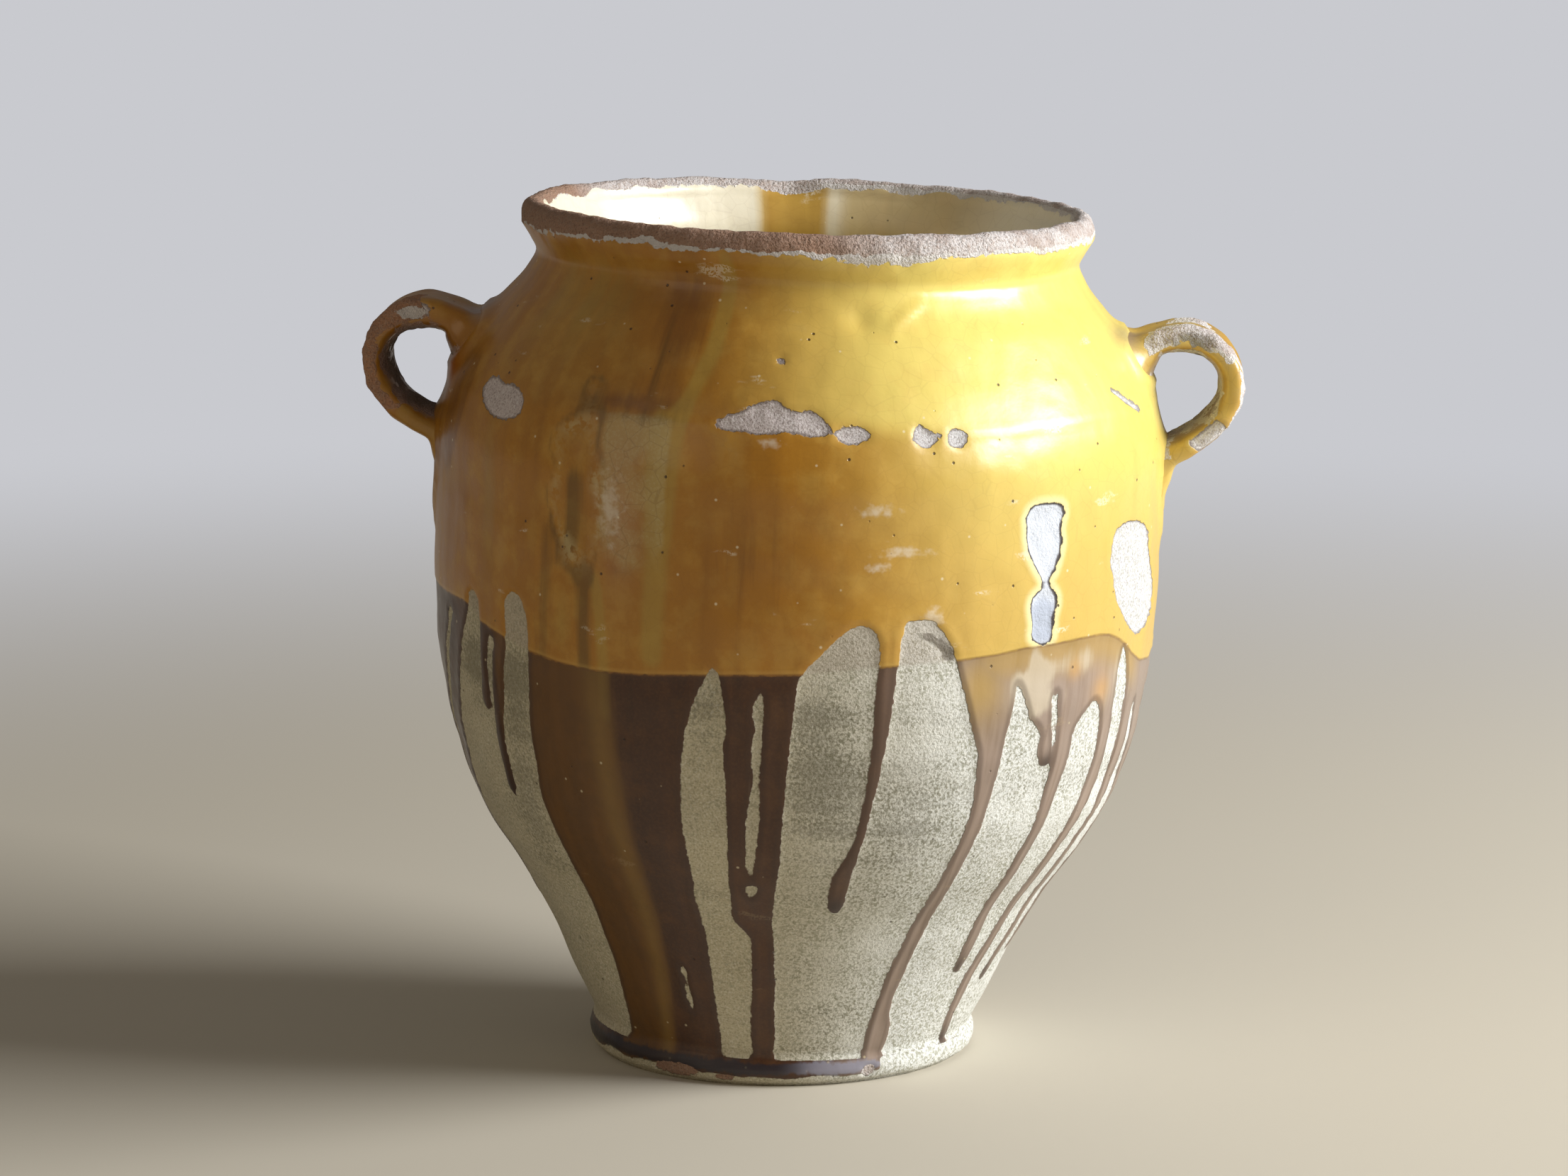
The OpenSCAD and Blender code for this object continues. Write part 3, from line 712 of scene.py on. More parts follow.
def depth_inside(outline, smooth=3):
    """Distance in mm from each point of the wall to an outline drawn on it, positive inside."""
    closed = smooth_curve(outline[-1:] + outline + outline[:2], smooth)[smooth:-smooth]
    (ax, ay), (bx, by) = closed[:-1].T, closed[1:].T
    per_degree = wall_r * math.pi / 180
    middle = (ax.min() + ax.max()) / 2
    around = (turn - middle + 180) % 360 - 180 + middle
    margin = -NOWHERE / per_degree
    near = (height > ay.min() + NOWHERE) & (height < ay.max() - NOWHERE)
    near &= (around > ax.min() - margin) & (around < ax.max() + margin)
    result = np.full(len(turn), NOWHERE)
    for part in np.array_split(np.flatnonzero(near), max(1, near.sum() // 4000)):
        x, y, scale = around[part, None], height[part, None], per_degree[part, None]
        px, py = (x - ax) * scale, y - ay
        ex, ey = (bx - ax) * scale, (by - ay) + 0 * x
        t = np.clip((px * ex + py * ey) / (ex * ex + ey * ey + 1e-9), 0, 1)
        gap = np.sqrt(((px - t * ex) ** 2 + (py - t * ey) ** 2).min(axis=1))
        crosses = ((ay > y) != (by > y)) & (x < ax + (bx - ax) * (y - ay) / (by - ay + 1e-9))
        result[part] = np.where(crosses.sum(axis=1) % 2 == 1, gap, -gap)
    return np.clip(result, NOWHERE, -NOWHERE)


def blob(middle, rise, wide, tall):
    """A soft patch on the wall: its middle in degrees and mm, and how far it spreads."""
    across = ((turn - middle + 180) % 360 - 180) / wide
    return np.exp(-(across**2) - ((height - rise) / tall) ** 2)


def streak(wide, path):
    """A soft stripe of a width in degrees that follows a path of (degrees, mm) from the top down."""
    angles, heights = zip(*reversed(path))
    low, high = heights[0], heights[-1]
    across = ((turn - np.interp(height, heights, angles) + 180) % 360 - 180) / wide
    return np.exp(-(across**2)) * between(height, low - 6, low + 6, high - 6, high + 6)


def tongue(left, right, top, lean_over):
    """Outline of a bare tongue that rises from the foot between two runs, round at its top."""
    wide = right - left
    middle = (left + right) / 2 + lean_over
    wander = 0.06 * wide * math.sin(left * 7.0)
    return [(left + 0.03 * wide, 2), (left + wander, 45), (left, 85), (left - wander, 118),
            (left + 0.05 * wide, top - 32), (middle - 0.34 * wide, top - 14), (middle - 0.16 * wide, top - 3),
            (middle, top), (middle + 0.17 * wide, top - 4), (middle + 0.36 * wide, top - 18),
            (right - 0.04 * wide, top - 36), (right + wander, 112), (right, 80), (right - wander, 44),
            (right - 0.03 * wide, 2)]


def drip(middle, half, lowest):
    """Outline of a run of glaze that stopped on its way down, a little swollen at its end."""
    return [(middle - 1.3 * half, 200), (middle - half, 160), (middle - 0.8 * half, lowest + 20),
            (middle - 1.2 * half, lowest + 5), (middle - 0.6 * half, lowest + 1), (middle, lowest),
            (middle + 0.7 * half, lowest + 1), (middle + 1.3 * half, lowest + 5),
            (middle + 0.9 * half, lowest + 20), (middle + half, 160), (middle + 1.4 * half, 200)]


# distances in mm, positive inside: bare clay, chips, slip, worn rim and foot, and the band at the foot
wall_r = np.maximum(np.where(inside, reach, wall_radius(height)), 30)
bare = [LEFT_FIELD, LENS_SLIT, LEFT_TONGUE, NARROW_SLIT, SLIT_DROP, MIDDLE_FIELD, RIGHT_FIELD,
        FAR_RIGHT_FIELD] + [tongue(*row) for row in BACK_TONGUES]
clay = np.max([depth_inside(outline) for outline in bare], axis=0)
clay = np.minimum(clay, -np.max([depth_inside(drip(*row)) for row in BACK_DRIPS], axis=0))
foot_clay = 14 * between(turn, 30, 38, 110, 130) - 4
foot_clay = np.maximum(foot_clay, 4.6 + 0.5 * rippled(9, 18) - height)
clay = np.where(height > FOOT_LINE, np.minimum(clay, height - FOOT_LINE), foot_clay)
clay = np.where(outside, clay, NOWHERE)
chipped = np.max([depth_inside(outline, 2) for outline in CHIPS], axis=0)
chipped = np.where(outside, chipped, NOWHERE)
tide_h = np.interp((turn + 180) % 360 - 180, *zip(*TIDE_LINE))
slipped = np.where(inside | underside, 20.0, height - tide_h)
worn_edge = RIM_WEAR + 0.6 * rippled(14, 3) + 0.4 * rippled(5, 4) - 2 * np.exp(-(((turn - 17) / 11) ** 4))
inner_edge = RIM_MID[1] + WEAR_INSIDE + 0.7 * rippled(12, 5) + 0.4 * rippled(5, 6)
far_chip = blob(*FAR_CHIP) * (on_roll | inside)
inward = (reach < RIM_MID[0] - 2.5) & ~outside
worn = np.where(inward, height - inner_edge + 5 * far_chip, height - worn_edge)
worn = np.where(underside, 10.0, worn)
foot_glaze = 2.3 - np.abs(height - 7.4 - 0.4 * rippled(12, 7))
foot_glaze -= 8 * between(turn, 30, 38, 100, 120)
foot_glaze = np.where(outside & (height < 13.5), foot_glaze, -3.0)
foot_chip = np.max([strength * blob(*place) for strength, *place in FOOT_CHIPS], axis=0)
worn = np.where(outside & (height < 13), 6 * (foot_chip - 0.5), worn)

# how strongly each tint of the glaze and the clay shows, with the painted light and shade among them, from 0
# to about 1
field = {name: sum(strength * blob(*place) for strength, *place in rows) for name, rows in PATCHES.items()}
for name, rows in STRIPES.items():
    field[name] = field[name] + sum(strength * streak(wide, path) for strength, wide, path in rows)
shaded = ramp(np.interp(height, *zip(*ROOT_SHADE)) - turn, -0.5, 0.9) * ramp(turn, -125, -115)
field["amber"] += 0.55 * shaded * between(height, 222, 232, 270, 282)
# the left side, away from the window lamp, is drawn a little more amber: partly glaze and partly painted
# shade
field["amber"] += 0.25 * between(turn, -120, -80, -50, 0)
# the scar is a broken pale ring inside an olive one
scar = np.hypot((turn - SCAR[0]) / SCAR[2], (height - SCAR[1]) / SCAR[3]) - 0.14 * rippled(8, 19)
field["olive"] += 0.6 * peak(scar, 1.3, 0.13) * ramp(-turn, 26, 30)
field["olive"] += 2.0 * ramp(depth_inside(CRACK, 2), -0.15, 0.25)
field["cloudy"] += peak(scar, 1, 0.2) * ramp(-turn, 24, 29) * (0.3 + 0.7 * ramp(rippled(11, 22), -0.6, 0.7))
field["cloudy"] += 0.9 * blob(43, 165, 6, 12) * (1 + 0.3 * rippled(7, 21))
thin = 0.75 * between(turn, -30.5, -28, -18.8, -17) * between(height, 200, 222, 261, 265)
field["thin"] = thin * (1 + 0.25 * rippled(9, 20))
# the brown glaze across the right side is drawn milky and pale: partly thin milky glaze and partly painted
# light where the window lamp falls
field["milky"] += between(turn, 6, 35, 95, 120)
past_honey = np.interp(height, *zip(*HONEY_SIDE)) - turn
field["honey"] += 0.85 * ramp(past_honey, -0.6, 0.9) * (turn > -52)
field["mustard"] = np.max([0.8 * ramp(slipped, -17, -4) * between(turn, 27, 35, 68, 76),
                           0.9 * blob(32.5, 166, 4.5, 14), 0.26 * peak(past_honey, 2.8, 2.2)], axis=0)
# painted light: the right side, where the window lamp falls, and the far rim are drawn lighter and whiter
on_far_rim = ramp(abs(turn), 100, 130) * (height > 316)
field["sunny"] = np.maximum(between(turn, -12, 40, 100, 150), 0.7 * on_far_rim)
# the glaze turns lemon towards the right and higher up: partly its own tint and partly painted light, its
# edge slanting further left above the shoulder as a painted shadow edge
lemon_and_painted_light = ramp(turn + 2 + 16 * ramp(height, 256, 268), 0, 46) * (1 - ramp(turn, 100, 150))
lemon_and_painted_light *= (0.5 + 0.5 * ramp(height, 185, 275)) * (1 - 0.12 * blob(60, 225, 12, 40))
field["lemon_and_painted_light"] = lemon_and_painted_light + 0.12 * blob(-45, 290, 14, 22)
field["smeared"] *= outside
flaked = (1.2 + 2.6 * blob(18, 322, 11, 30) + 1.4 * ramp(turn, 35, 60)) * ramp(turn, -90, -50)
field["flaked"] = np.where(height > 300, field["flaked"] + flaked - worn, -9.0)
# the inside is cream, with one amber run down the far side and an olive shade beside it
within = inside | (on_roll & (reach < RIM_MID[0]))
inner_amber = ramp(turn, 176.5, 179.5) + ramp(-turn, 164.5, 167.5)
inner_olive = between(turn, 126, 152, 172, 178) * (1 - 0.28 * ramp(height, 292, 318))
field["pale"] = np.where(within, np.clip(1 - inner_amber - 0.9 * inner_olive, 0, 1), 0.0)
for name, values in {"amber": 0.5 * inner_amber, "lemon_and_painted_light": 0.4, "green": 0.7 * inner_olive}.items():
    field[name] = np.where(within, values, field[name])
field.update(clay=clay, slip=slipped, chip=chipped, worn=worn, violet=foot_glaze)

# glaze has thickness, chips are hollows, and the wheel and the hand leave the wall a little uneven
lift = 0.16 * np.sin(height / 4.1 + 0.6 * rippled(60, 8)) + 0.14 * np.sin(height / 9.7 + 0.8 * rippled(90, 9))
lift += 0.45 * rippled(70, 10) + 0.12 * rippled(22, 11)
lift += 0.35 * peak(height - 0.8 * rippled(40, 16), BELLY_RIDGE_H, 2.2)
lift *= ramp(height, 10, 40)
glazed = ramp(-clay, -0.8, 0.8)
lift += GLAZE_STEP * glazed * ramp(height, 9, 11) + LIP_BEAD * peak(clay, -1.6, 1.3)
lift += SLIP_STEP * ramp(slipped, -0.8, 0.6) * glazed
lift += TIDE_BEAD * peak(slipped, 1.2, 1.4) * ramp(turn, 25, 45)
lift -= CHIP_DEEP * ramp(chipped, -0.4, 1.1) * (1 + 0.25 * rippled(3, 12))
lift += BLISTER_TALL * blob(*BLISTER) * between(chipped, -3, -0.8, -0.8, 0)
rough_clay = 0.3 * rippled(5, 13) + 0.17 * rippled(2.6, 14)
lift += 0.25 * rough_clay * ramp(turn, 5, 40) * ramp(clay, -0.5, 1)
lift = np.where(outside | inside, lift, 0.0)
on_rim = ramp(worn, -0.5, 0.8) * (height > 300)
lift = lift * (1 - on_rim) + on_rim * (rough_clay * 0.55 - 0.35 + 0.2 * rippled(14, 15))
lift -= FAR_CHIP_DEEP * far_chip + CRACK_DEEP * ramp(field["olive"], 1.2, 1.9) + DENT_DEEP * blob(*DENT)
tall, wide, path = SHOULDER_RIDGE
lift += tall * streak(wide, path) * between(turn, 17, 20, 25, 28)
lift -= FOOT_CHIP_DEEP * ramp(foot_chip, 0.3, 0.6) * ramp(height, 1, 3)
lift[underside] = 0
# where a strap meets the wall, both swell towards each other as the potter's thumb left them
lift += fillet(to_strap, height)
raised(body_mesh, lift, level)
for name, values in field.items():
    store(body_mesh, name, values)
# the patterns of the glaze are carried round the body at one radius, and along each strap
FLOW_R = 137.0
store(body_mesh, "flow",
      np.column_stack([FLOW_R * np.sin(np.radians(turn)), FLOW_R * np.cos(np.radians(turn)), height]))


# where each strap, by its side, is rubbed on its front: middle and half size in mm, how steeply and
# where round its section the rubbing ends, and how far forward it starts. The inside of the bend is
# rubbed by the hand from so far round its section.
RUBBED = {
    1: [((149.5, -17, 283), (17.5, 15, 12), 7, 0.2, 7), ((168, -14, 262), (10, 14, 24), 7, -0.5, 9)],
    -1: [((-160, -18, 279), (19, 22, 19), 9, 0.12, 9), ((-166, -16, 262), (17, 22, 23), 9, 0.12, 1)],
}
RUBBED_INSIDE = {1: 0.75, -1: 0.7}


def patch(points, centre, spread):
    """Distance in mm inside an egg-shaped patch, negative outside it."""
    spread = np.array(spread, float)
    away = np.linalg.norm((points - centre) / spread, axis=1)
    return (1 - away) * spread.min()


# where each strap is rubbed down to the clay, chipped, tinted and stained
for strap, side, seed in straps:
    mesh = strap.data
    p = upright(mesh)
    around = read(mesh, "clock")
    along = read(mesh, "along")
    outer = np.sin(around)
    zero = 0 * along
    rubbed = 3 * (-outer - RUBBED_INSIDE[side])
    for middle, size, steep, ends, forward in RUBBED[side]:
        rub = np.min([patch(p, middle, size), steep * (outer + ends), -p[:, 1] - forward], axis=0)
        rubbed = np.maximum(rubbed, rub)
    if side > 0:
        rubbed = np.maximum(rubbed, patch(p, (150, 8, 291), (13, 9, 3)))
        chip = np.minimum(patch(p, (156.5, -18, 248.5), (8, 9, 7)), 7 * (outer + 0.35))
        amber = 0.1 + 0.2 * ramp(outer, 0.2, 0.9) + 0.35 * ramp(-outer, 0, 0.6)
        amber += 0.3 * ramp(80 - along, 0, 30) * ramp(-outer, -0.4, 0.4)
        stain = 0.7 * patch(p, (148, -17, 284), (16, 12, 6)) / 6 + 0.8 * ramp(-outer, 0.7, 1)
    else:
        chip = patch(p, (-148, -24, 286), (6, 5, 3.5))
        amber = 0.45 + 0.5 * ramp(-outer, -0.2, 0.5) * ramp(70 - along, 0, 30)
        stain = np.maximum(patch(p, (-144, 8, 294), (22, 13, 8)) / 4, 0.35 * ramp(-outer, 0.6, 1))
    rubbed += 0.7 * ripple(p, 8, seed + 2) + 0.35 * ripple(p, 3.5, seed + 3)
    gap = np.hypot(p[:, 0], p[:, 1]) - wall_radius(p[:, 2])
    lift = 0.2 * ripple(p, 18, seed) + 0.1 * ripple(p, 5, seed + 1)
    lift -= 0.25 * ramp(rubbed, -0.8, 1.0) - 0.2 * ramp(rubbed, 0, 1) * ripple(p, 2.6, seed + 4)
    lift -= 0.8 * ramp(chip, -0.5, 1)
    lift += fillet(gap, p[:, 2]) * (gap > -4) * ramp(gap, -4, 0)
    raised(mesh, lift)
    marks = dict.fromkeys(field, 0.0)
    marks.update(clay=NOWHERE, slip=20.0, violet=-3.0, worn=rubbed, chip=chip, amber=amber, stain=stain)
    marks["green"] = 0.4 * ramp(ripple(p, 20, seed + 5), 0.3, 1.2)
    marks["thin"] = (0.4 if side > 0 else 0.15) * ramp(rubbed, -5, -1)
    # painted light: the right strap is drawn lit by the window lamp, the left one hardly at all
    marks["sunny"] = 0.8 if side > 0 else 0.1
    marks["smoky"] = np.clip(patch(p, (122 * side, -12, 283), (10, 17, 8)) / 4, 0, 1)
    marks["smoky"] += 0.8 * ramp(-outer, 0.4, 0.8)
    if side > 0:
        # the right strap's lemon is partly glaze and partly painted light
        marks["lemon_and_painted_light"] = 0.62 - 0.38 * ramp(outer, -0.3, 0.5) * ramp(p[:, 0], 146, 154)
        marks["flaked"] = 1.6 - rubbed
    else:
        marks["rosy"] = ramp(rubbed, -1, 0.5) * ramp(outer, -0.5, 0)
        marks["flaked"] = patch(p, (-149, -22, 285), (6.5, 9, 2.6))
    for name, values in marks.items():
        store(mesh, name, zero + values)
    store(mesh, "flow", np.column_stack([p[:, 1] * 3, 30 * np.cos(around), along]))


# The finish
# Pale earthenware under a transparent lead glaze: deep and glossy, yellow over the white slip and
# brown over the clay, pooled dark along the lips of the runs. Worn and chipped clay is dull and sandy.

# grit in the clay, really about 0.4 mm, and lichen-like specks, drawn as coarse as they need to show
SAND_MM = 0.8
LICHEN_MM = 1.2
# tears along the edges of the coats, lines of the wheel, and the width of a run of melted glaze
EDGE_MM = 3.2
WHEEL_LINE_MM = 2.4
RUN_MM = 5.0
# soft changes of colour, from small to large, dimples of the glaze, and scuffs
MOTTLE_MM = 12.0
CLOUD_MM = 45.0
DIMPLE_MM = 10.0
SCUFF_MM = 14.0
# cells of the fine cracks, and pinholes: real ones are half as wide, and would not show
CRACKLE_MM = 6.5
PINHOLE_GAP_MM = 7.5
PINHOLE_SHARE = 0.07

tree = finish.node_tree
# what the masks and the heights are made of: the fields kept on the meshes, and noises of real sizes
signal = {name: add(tree, "ShaderNodeAttribute", attribute_name=name).outputs["Fac"] for name in field}
metre_place = add(tree, "ShaderNodeTexCoord").outputs["Object"]
place = add(tree, "ShaderNodeVectorMath", {0: metre_place, "Scale": 1 / MM}, operation="SCALE")
flow = add(tree, "ShaderNodeAttribute", attribute_name="flow").outputs["Vector"]
down_flow = add(tree, "ShaderNodeMapping", {"Vector": flow, "Scale": (1.0, 1.0, 0.06)})
round_wall = add(tree, "ShaderNodeMapping", {"Vector": flow, "Scale": (0.05, 0.05, 1.0)})
flattened = add(tree, "ShaderNodeMapping", {"Vector": place, "Scale": (0.5, 0.5, 1.6)})
for name, coords, size, detail in (
    ("edge", place, EDGE_MM, 2.0), ("sand", place, SAND_MM, 1.0), ("lichen", place, LICHEN_MM, 3.0),
    ("wheel", round_wall, WHEEL_LINE_MM, 2.0), ("band", round_wall, WHEEL_LINE_MM * 6, 2.0),
    ("mottle", place, MOTTLE_MM, 4.0), ("dimple", place, DIMPLE_MM, 0.0), ("cloud", place, CLOUD_MM, 2.0),
    ("run", down_flow, RUN_MM, 3.0), ("broad_run", down_flow, RUN_MM * 3.4, 2.0),
    ("scuff", flattened, SCUFF_MM, 3.0),
):
    signal[name] = add(tree, "ShaderNodeTexNoise",
                       {"Vector": coords, "Scale": 1 / size, "Detail": detail, "Roughness": 0.6})
spots = add(tree, "ShaderNodeTexVoronoi", {"Vector": place, "Scale": 1 / PINHOLE_GAP_MM}).outputs
signal["spot"] = spots["Distance"]
signal["kind_of_spot"] = add(tree, "ShaderNodeSeparateXYZ", {"Vector": spots["Color"]})
signal["crack"] = add(tree, "ShaderNodeTexVoronoi", {"Vector": place, "Scale": 1 / CRACKLE_MM},
                      feature="DISTANCE_TO_EDGE").outputs["Distance"]

# the edges of the coats: a mask from the distance to each edge, a little torn
for name, distance, soft, ragged in (
    ("bare_clay", "clay", 0.25, 0.7), ("over_slip", "slip", 0.4, 0.8), ("chipped", "chip", 0.2, 1.0),
    ("worn_off", "worn", 0.25, 1.6), ("foot_band", "violet", 0.8, 1.5),
):
    torn = add(tree, "ShaderNodeMapRange", {"Value": signal["edge"], "From Min": 0.3, "From Max": 0.7,
                                            "To Min": -ragged / 2, "To Max": ragged / 2})
    torn = add(tree, "ShaderNodeMath", {0: signal[distance], 1: torn}, operation="ADD")
    signal[name] = add(tree, "ShaderNodeMapRange", {"Value": torn, "From Min": -soft, "From Max": soft},
                       interpolation_type="SMOOTHSTEP")

# every other mask opens as the sum of its signals goes from one value to another, and some only
# inside the mask or field that is named last
for name, parts, low, high, *within in (
    ("deep_runs", "run", 0.45, 0.68),
    ("broad_runs", "broad_run", 0.38, 0.66),
    ("mottled", "mottle", 0.42, 0.66),
    ("clouded", "cloud", 0.35, 0.65),
    ("light_grains", "sand", 0.54, 0.7),
    ("dark_grains", "sand", 0.46, 0.34),
    ("speckled", "lichen", 0.47, 0.6),
    ("wheel_lines", "wheel", 0.5, 0.66),
    ("banded", "band", 0.42, 0.6),
    ("stained", "stain lichen band", 1.08, 1.5),
    ("lichen_patches", "cloud mottle", 0.72, 1.12, "speckled"),
    # masks of painted light: where the window lamp falls, lichen patches and specks show more, the rim is
    # drawn paler and the foot band gets a painted highlight
    ("lichen_in_painted_light", "sunny", -0.6, 0.4, "lichen_patches"),
    ("speckles_in_painted_light", "sunny", 0.8, 1.0, "speckled"),
    ("painted_light_on_rim", "sunny", 0.2, 0.75),
    ("painted_highlight_on_foot", "sunny", 0.15, 0.55),
    ("spotted", "spot", PINHOLE_SHARE * 1.4, PINHOLE_SHARE * 0.6),
    ("pinholes", "kind_of_spot", 0.42, 0.4, "spotted"),
    ("grit", "kind_of_spot", 0.6, 0.62, "spotted"),
    ("outside_clay", "clay", 0.3, -0.5),
    ("lip", "clay", -3.2, -1.2, "outside_clay"),
    ("slip_side", "slip", -1.0, 1.0),
    ("up_from_tide", "slip", 0.0, 0.8),
    ("above_tide", "slip", 2.4, 0.9, "up_from_tide"),
    ("down_from_tide", "slip", 0.9, 0.1),
    ("tide_line", "slip", -1.0, -0.1, "down_from_tide"),
    ("amber_glaze", "amber broad_run", 0.5, 1.4),
    ("deep_amber", "amber run", 1.1, 1.7),
    ("green_glaze", "green broad_run", 0.65, 1.25),
    ("olive_glaze", "olive run", 0.62, 1.35),
    ("thin_glaze", "thin mottle", 0.6, 1.25),
    ("thin_specks", "lichen", 0.48, 0.62, "thin_glaze"),
    ("cloudy_glaze", "cloudy run", 0.7, 1.15),
    ("cloudy_flecks", "edge", 0.4, 0.54, "cloudy"),
    ("pale_clouds", "mottle", 0.45, 0.7, "pale"),
    ("honey_runs", "broad_run", 0.4, 0.62, "honey"),
    ("honey_clouds", "mottle", 0.42, 0.62, "honey"),
    ("milky_runs", "run", 0.45, 0.68, "milky"),
    ("smears", "smeared edge", 0.75, 1.3),
    ("torn_spots", "edge", 0.35, 0.65),
    ("flakes", "flaked torn_spots", 0.5, 0.8),
    ("sanded", "sand", 0.4, 0.5),
    ("scuffed", "scuff", 0.66, 0.74, "sanded"),
    ("crackle", "crack", 0.035, 0.01),
    ("thin_crackle", "crackle", 0.0, 1.0, "thin_glaze"),
    ("blistered", "blister", 0.15, 0.45),
    # painted shade in the sunk lower part of the blister, and a painted shadow just inside the edge of each
    # chip and round the blister
    ("sunk", "blister", 0.75, 0.95),
    ("halo", "chip", -4.0, -0.6, "blistered"),
    ("painted_shadow_at_chip_edge", "chip", 1.1, 0.2),
    ("painted_shadow_at_blister_edge", "chip", 1.2, 0.3, "blistered"),
):
    total, *others = [signal[part] for part in parts.split()]
    for other in others:
        total = add(tree, "ShaderNodeMath", {0: total, 1: other}, operation="ADD")
    opened = add(tree, "ShaderNodeMapRange", {"Value": total, "From Min": low, "From Max": high},
                 interpolation_type="SMOOTHSTEP")
    for other in within:
        opened = add(tree, "ShaderNodeMath", {0: opened, 1: signal[other]}, operation="MULTIPLY")
    signal[name] = opened

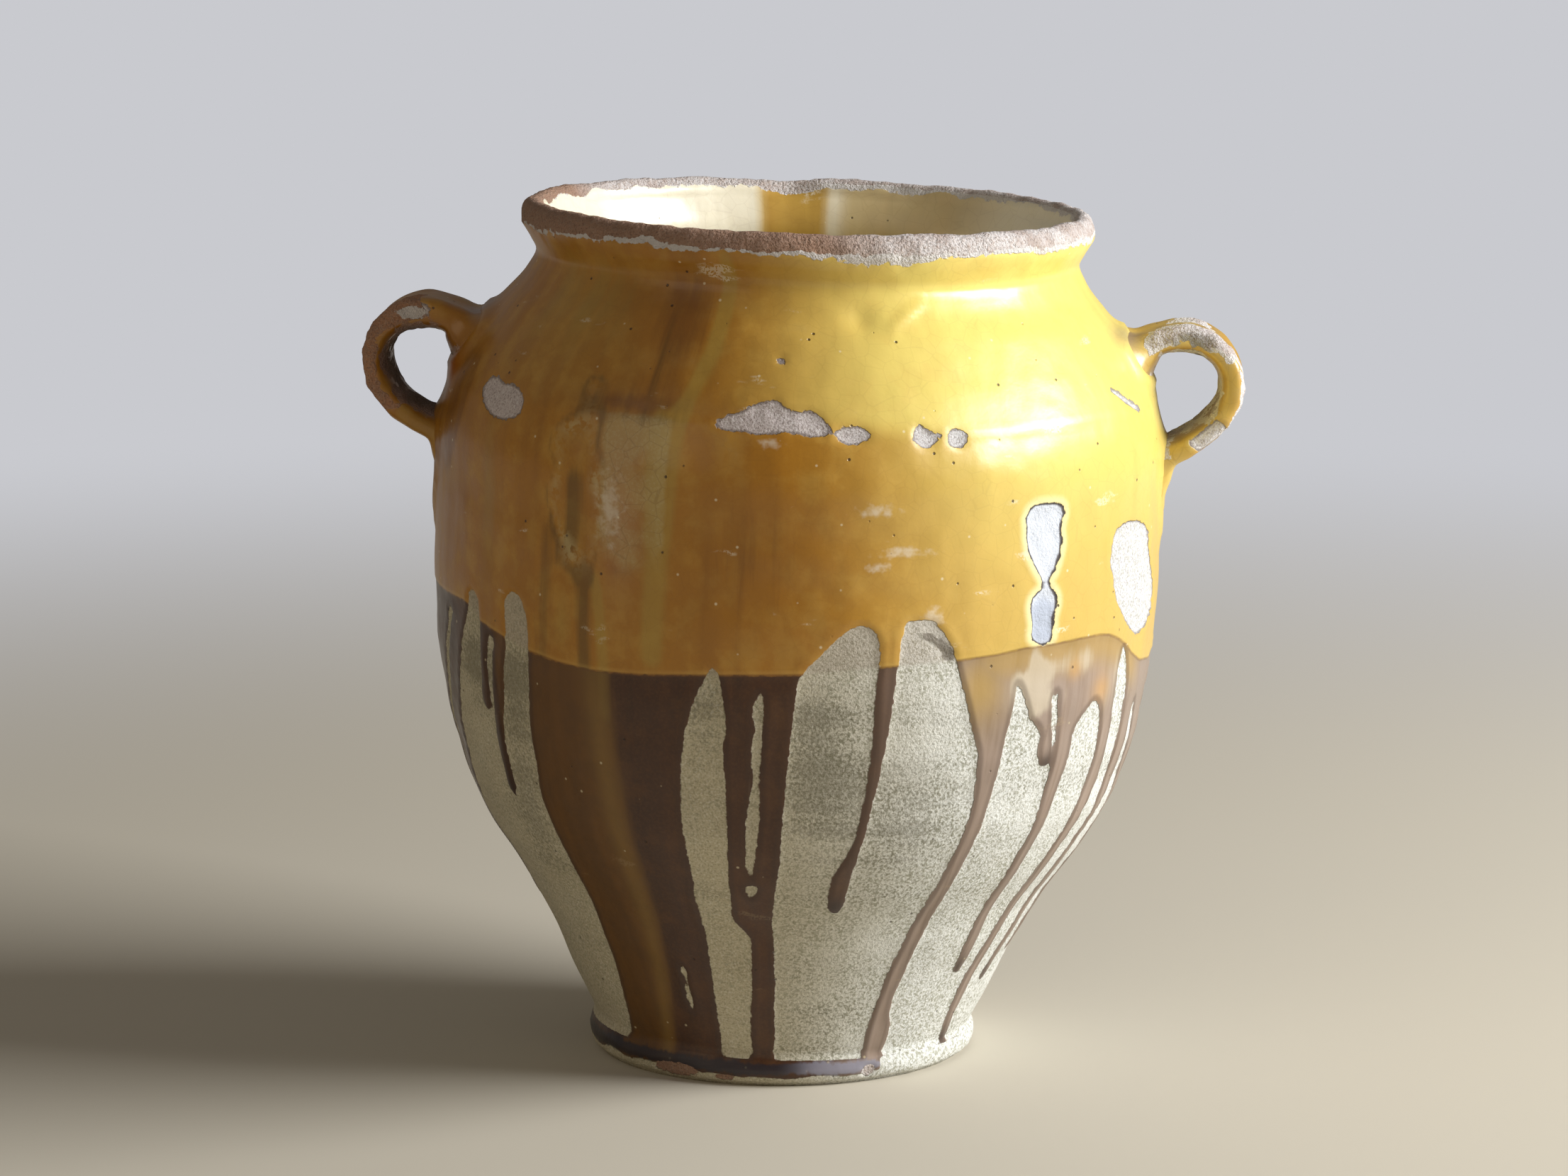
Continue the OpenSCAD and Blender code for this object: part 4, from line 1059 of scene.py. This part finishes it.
# each coat: its ground colour, and what lies over it through a mask or a field, strongest at 1
coats = {}
for name, ground, layers in (
    ("yellow_glaze", "#B27A1E", (
        ("broad_runs", 0.3, "#A56F20"), ("deep_runs", 0.12, "#96601A"), ("speckled", 0.08, "#8E5C1C"),
        # the lemon tint is partly glaze and partly painted light; the amber tints are partly painted shade on
        # the left and under the rim
        ("lemon_and_painted_light", 0.9, "#F1DE7A"), ("mottled", 0.22, "#DDB758"), ("amber_glaze", 0.6, "#98641C"),
        ("deep_amber", 0.55, "#693C10"), ("green_glaze", 0.5, "#B59A45"), ("thin_glaze", 0.65, "#BBA468"),
        ("olive_glaze", 0.62, "#5C4718"), ("cloudy_flecks", 0.7, "#C4AE78"), ("rosy", 0.55, "#B4825E"),
        ("thin_specks", 0.2, "#CBBB8C"), ("thin_crackle", 0.16, "#6E4A1E"), ("halo", 0.75, "#F6EBB4"),
        ("pale", 0.95, "#F0E9D2"), ("pale_clouds", 0.25, "#DDD2AC"), ("above_tide", 0.16, "#E6C46C"),
        ("orange", 0.5, "#9C4A18"), ("smoky", 0.6, "#75656B"), ("crackle", 0.07, "#7A4E18"),
        ("scuffed", 0.5, "#F3EAD2"), ("smears", 0.55, "#EADFCB"), ("pinholes", 0.85, "#33200F"),
        ("grit", 0.6, "#EFE3C0"),
    )),
    ("brown_glaze", "#4A280B", (
        ("broad_runs", 0.5, "#351D0A"), ("deep_runs", 0.25, "#2A1707"), ("mottled", 0.35, "#643E16"),
        ("speckled", 0.12, "#704A20"), ("honey", 0.85, "#734C12"), ("honey_runs", 0.45, "#53350F"),
        # the milky tint on the right is partly thin glaze and partly painted light
        ("honey_clouds", 0.35, "#4A3214"), ("milky", 0.8, "#A69486"), ("milky_runs", 0.45, "#6F543C"),
        ("mustard", 0.85, "#B08E42"), ("cloudy_glaze", 0.75, "#C6B9A2"), ("orange", 0.8, "#D8A040"),
        ("lip", 0.4, "#3A2110"), ("pooled", 0.8, "#2C1A16"), ("green_glaze", 0.3, "#8C7434"),
        ("scuffed", 0.2, "#B39B74"), ("pinholes", 0.6, "#26160C"), ("grit", 0.75, "#C9BA98"),
    )),
    # the clay is drawn paler and cooler on the right as painted light, with its lichen patches stronger there
    ("clay", "#C4BA9D", (
        ("clouded", 0.25, "#A99D80"), ("banded", 0.15, "#A49A80"), ("mottled", 0.25, "#CFC7B0"),
        ("wheel_lines", 0.2, "#A79C84"), ("sunny", 0.85, "#E3E6E4"), ("dark_grains", 0.45, "#868068"),
        ("light_grains", 0.4, "#E6E2D6"), ("lichen_in_painted_light", 0.62, "#868468"),
        ("slip_side", 0.35, "#A9988A"), ("stained", 0.5, "#66614F"), ("pinholes", 0.7, "#453D30"),
        ("olive_glaze", 0.6, "#574B3B"),
    )),
    # the chips are drawn whiter on the right as painted light, with painted shade in the blister's sunk part
    # and painted shadows along the chip edges
    ("chips", "#CDC1BE", (
        ("sunny", 0.8, "#D0D3D5"), ("dark_grains", 0.5, "#7C6C68"), ("light_grains", 0.5, "#E6E4E0"),
        ("speckled", 0.2, "#8F7B6C"), ("speckles_in_painted_light", 0.3, "#9FA48C"), ("blistered", 0.8, "#D3DAE6"),
        ("sunk", 0.6, "#98A2B6"), ("painted_shadow_at_chip_edge", 0.6, "#5B473A"), ("painted_shadow_at_blister_edge", 0.85, "#2B1D16"),
    )),
    # the worn rim is drawn paler on the right as painted light, with a painted shadow edge a little right of
    # the front
    ("worn_clay", "#9F7D67", (
        ("painted_light_on_rim", 0.85, "#DAD7D6"), ("rosy", 0.7, "#B7835F"), ("smoky", 0.6, "#938B8D"),
        ("mottled", 0.45, "#8E6F5C"), ("dark_grains", 0.5, "#634A3B"), ("speckled", 0.3, "#B79D8B"),
        ("flakes", 0.85, "#D9D5D1"), ("stained", 0.6, "#55503F"),
    )),
    # the dark foot band gets a painted lavender highlight on the right, where the lamp falls
    ("foot_glaze", "#231F28", (("painted_highlight_on_foot", 0.8, "#9A99A8"),)),
    ("pot", "brown_glaze", (
        ("over_slip", 1.0, "yellow_glaze"), ("tide_line", 0.5, "#6A4218"), ("bare_clay", 1.0, "clay"),
        ("foot_band", 0.85, "foot_glaze"), ("chipped", 1.0, "chips"), ("worn_off", 1.0, "worn_clay"),
    )),
):
    colour = coats[ground] if ground in coats else linear(ground)
    for mask, strength, laid in layers:
        laid = coats[laid] if laid in coats else linear(laid)
        amount = add(tree, "ShaderNodeMath", {0: signal[mask], 1: strength}, operation="MULTIPLY",
                     use_clamp=True)
        colour = add(tree, "ShaderNodeMix", {0: amount, 6: colour, 7: laid}, data_type="RGBA").outputs[2]
    coats[name] = colour

# bare clay is dull, and the glaze has the slightly uneven gloss of a wood kiln
dull = signal["bare_clay"]
for mask in ("chipped", "worn_off"):
    dull = add(tree, "ShaderNodeMath", {0: dull, 1: signal[mask]}, operation="MAXIMUM")
gloss = add(tree, "ShaderNodeMapRange", {"Value": signal["mottle"], "From Min": 0.3, "From Max": 0.7,
                                         "To Min": 0.28, "To Max": 0.4})
roughness = add(tree, "ShaderNodeMix", {0: dull, 2: gloss, 3: 0.85}, data_type="FLOAT")
coat = add(tree, "ShaderNodeMix", {0: dull, 2: 0.15, 3: 0.0}, data_type="FLOAT")

# heights in mm: sand and wheel lines where the clay is bare, soft waves and runs where it is glazed
sandy = wavy = 0.0
for part, tall in (("sand", 0.18), ("wheel", 0.2), ("lichen", 0.45)):
    sandy = add(tree, "ShaderNodeMath", {0: signal[part], 1: tall, 2: sandy}, operation="MULTIPLY_ADD")
for part, tall in (("broad_run", 0.3), ("dimple", 0.55), ("edge", 0.07)):
    wavy = add(tree, "ShaderNodeMath", {0: signal[part], 1: tall, 2: wavy}, operation="MULTIPLY_ADD")
relief = add(tree, "ShaderNodeMix", {0: dull, 2: wavy, 3: sandy}, data_type="FLOAT")
pitted = add(tree, "ShaderNodeMath", {0: signal["worn_off"], 1: signal["lichen"]}, operation="MULTIPLY")
for part, tall in ((dull, -0.35), (signal["pinholes"], -0.3), (pitted, 1.0)):
    relief = add(tree, "ShaderNodeMath", {0: part, 1: tall, 2: relief}, operation="MULTIPLY_ADD")
bump = add(tree, "ShaderNodeBump", {"Height": relief, "Distance": MM, "Strength": 0.9})
shader = add(tree, "ShaderNodeBsdfPrincipled",
             {"Base Color": coats["pot"], "Roughness": roughness, "IOR": 1.5, "Coat Weight": coat,
              "Coat Roughness": 0.2, "Normal": bump})
add(tree, "ShaderNodeOutputMaterial", {"Surface": shader})
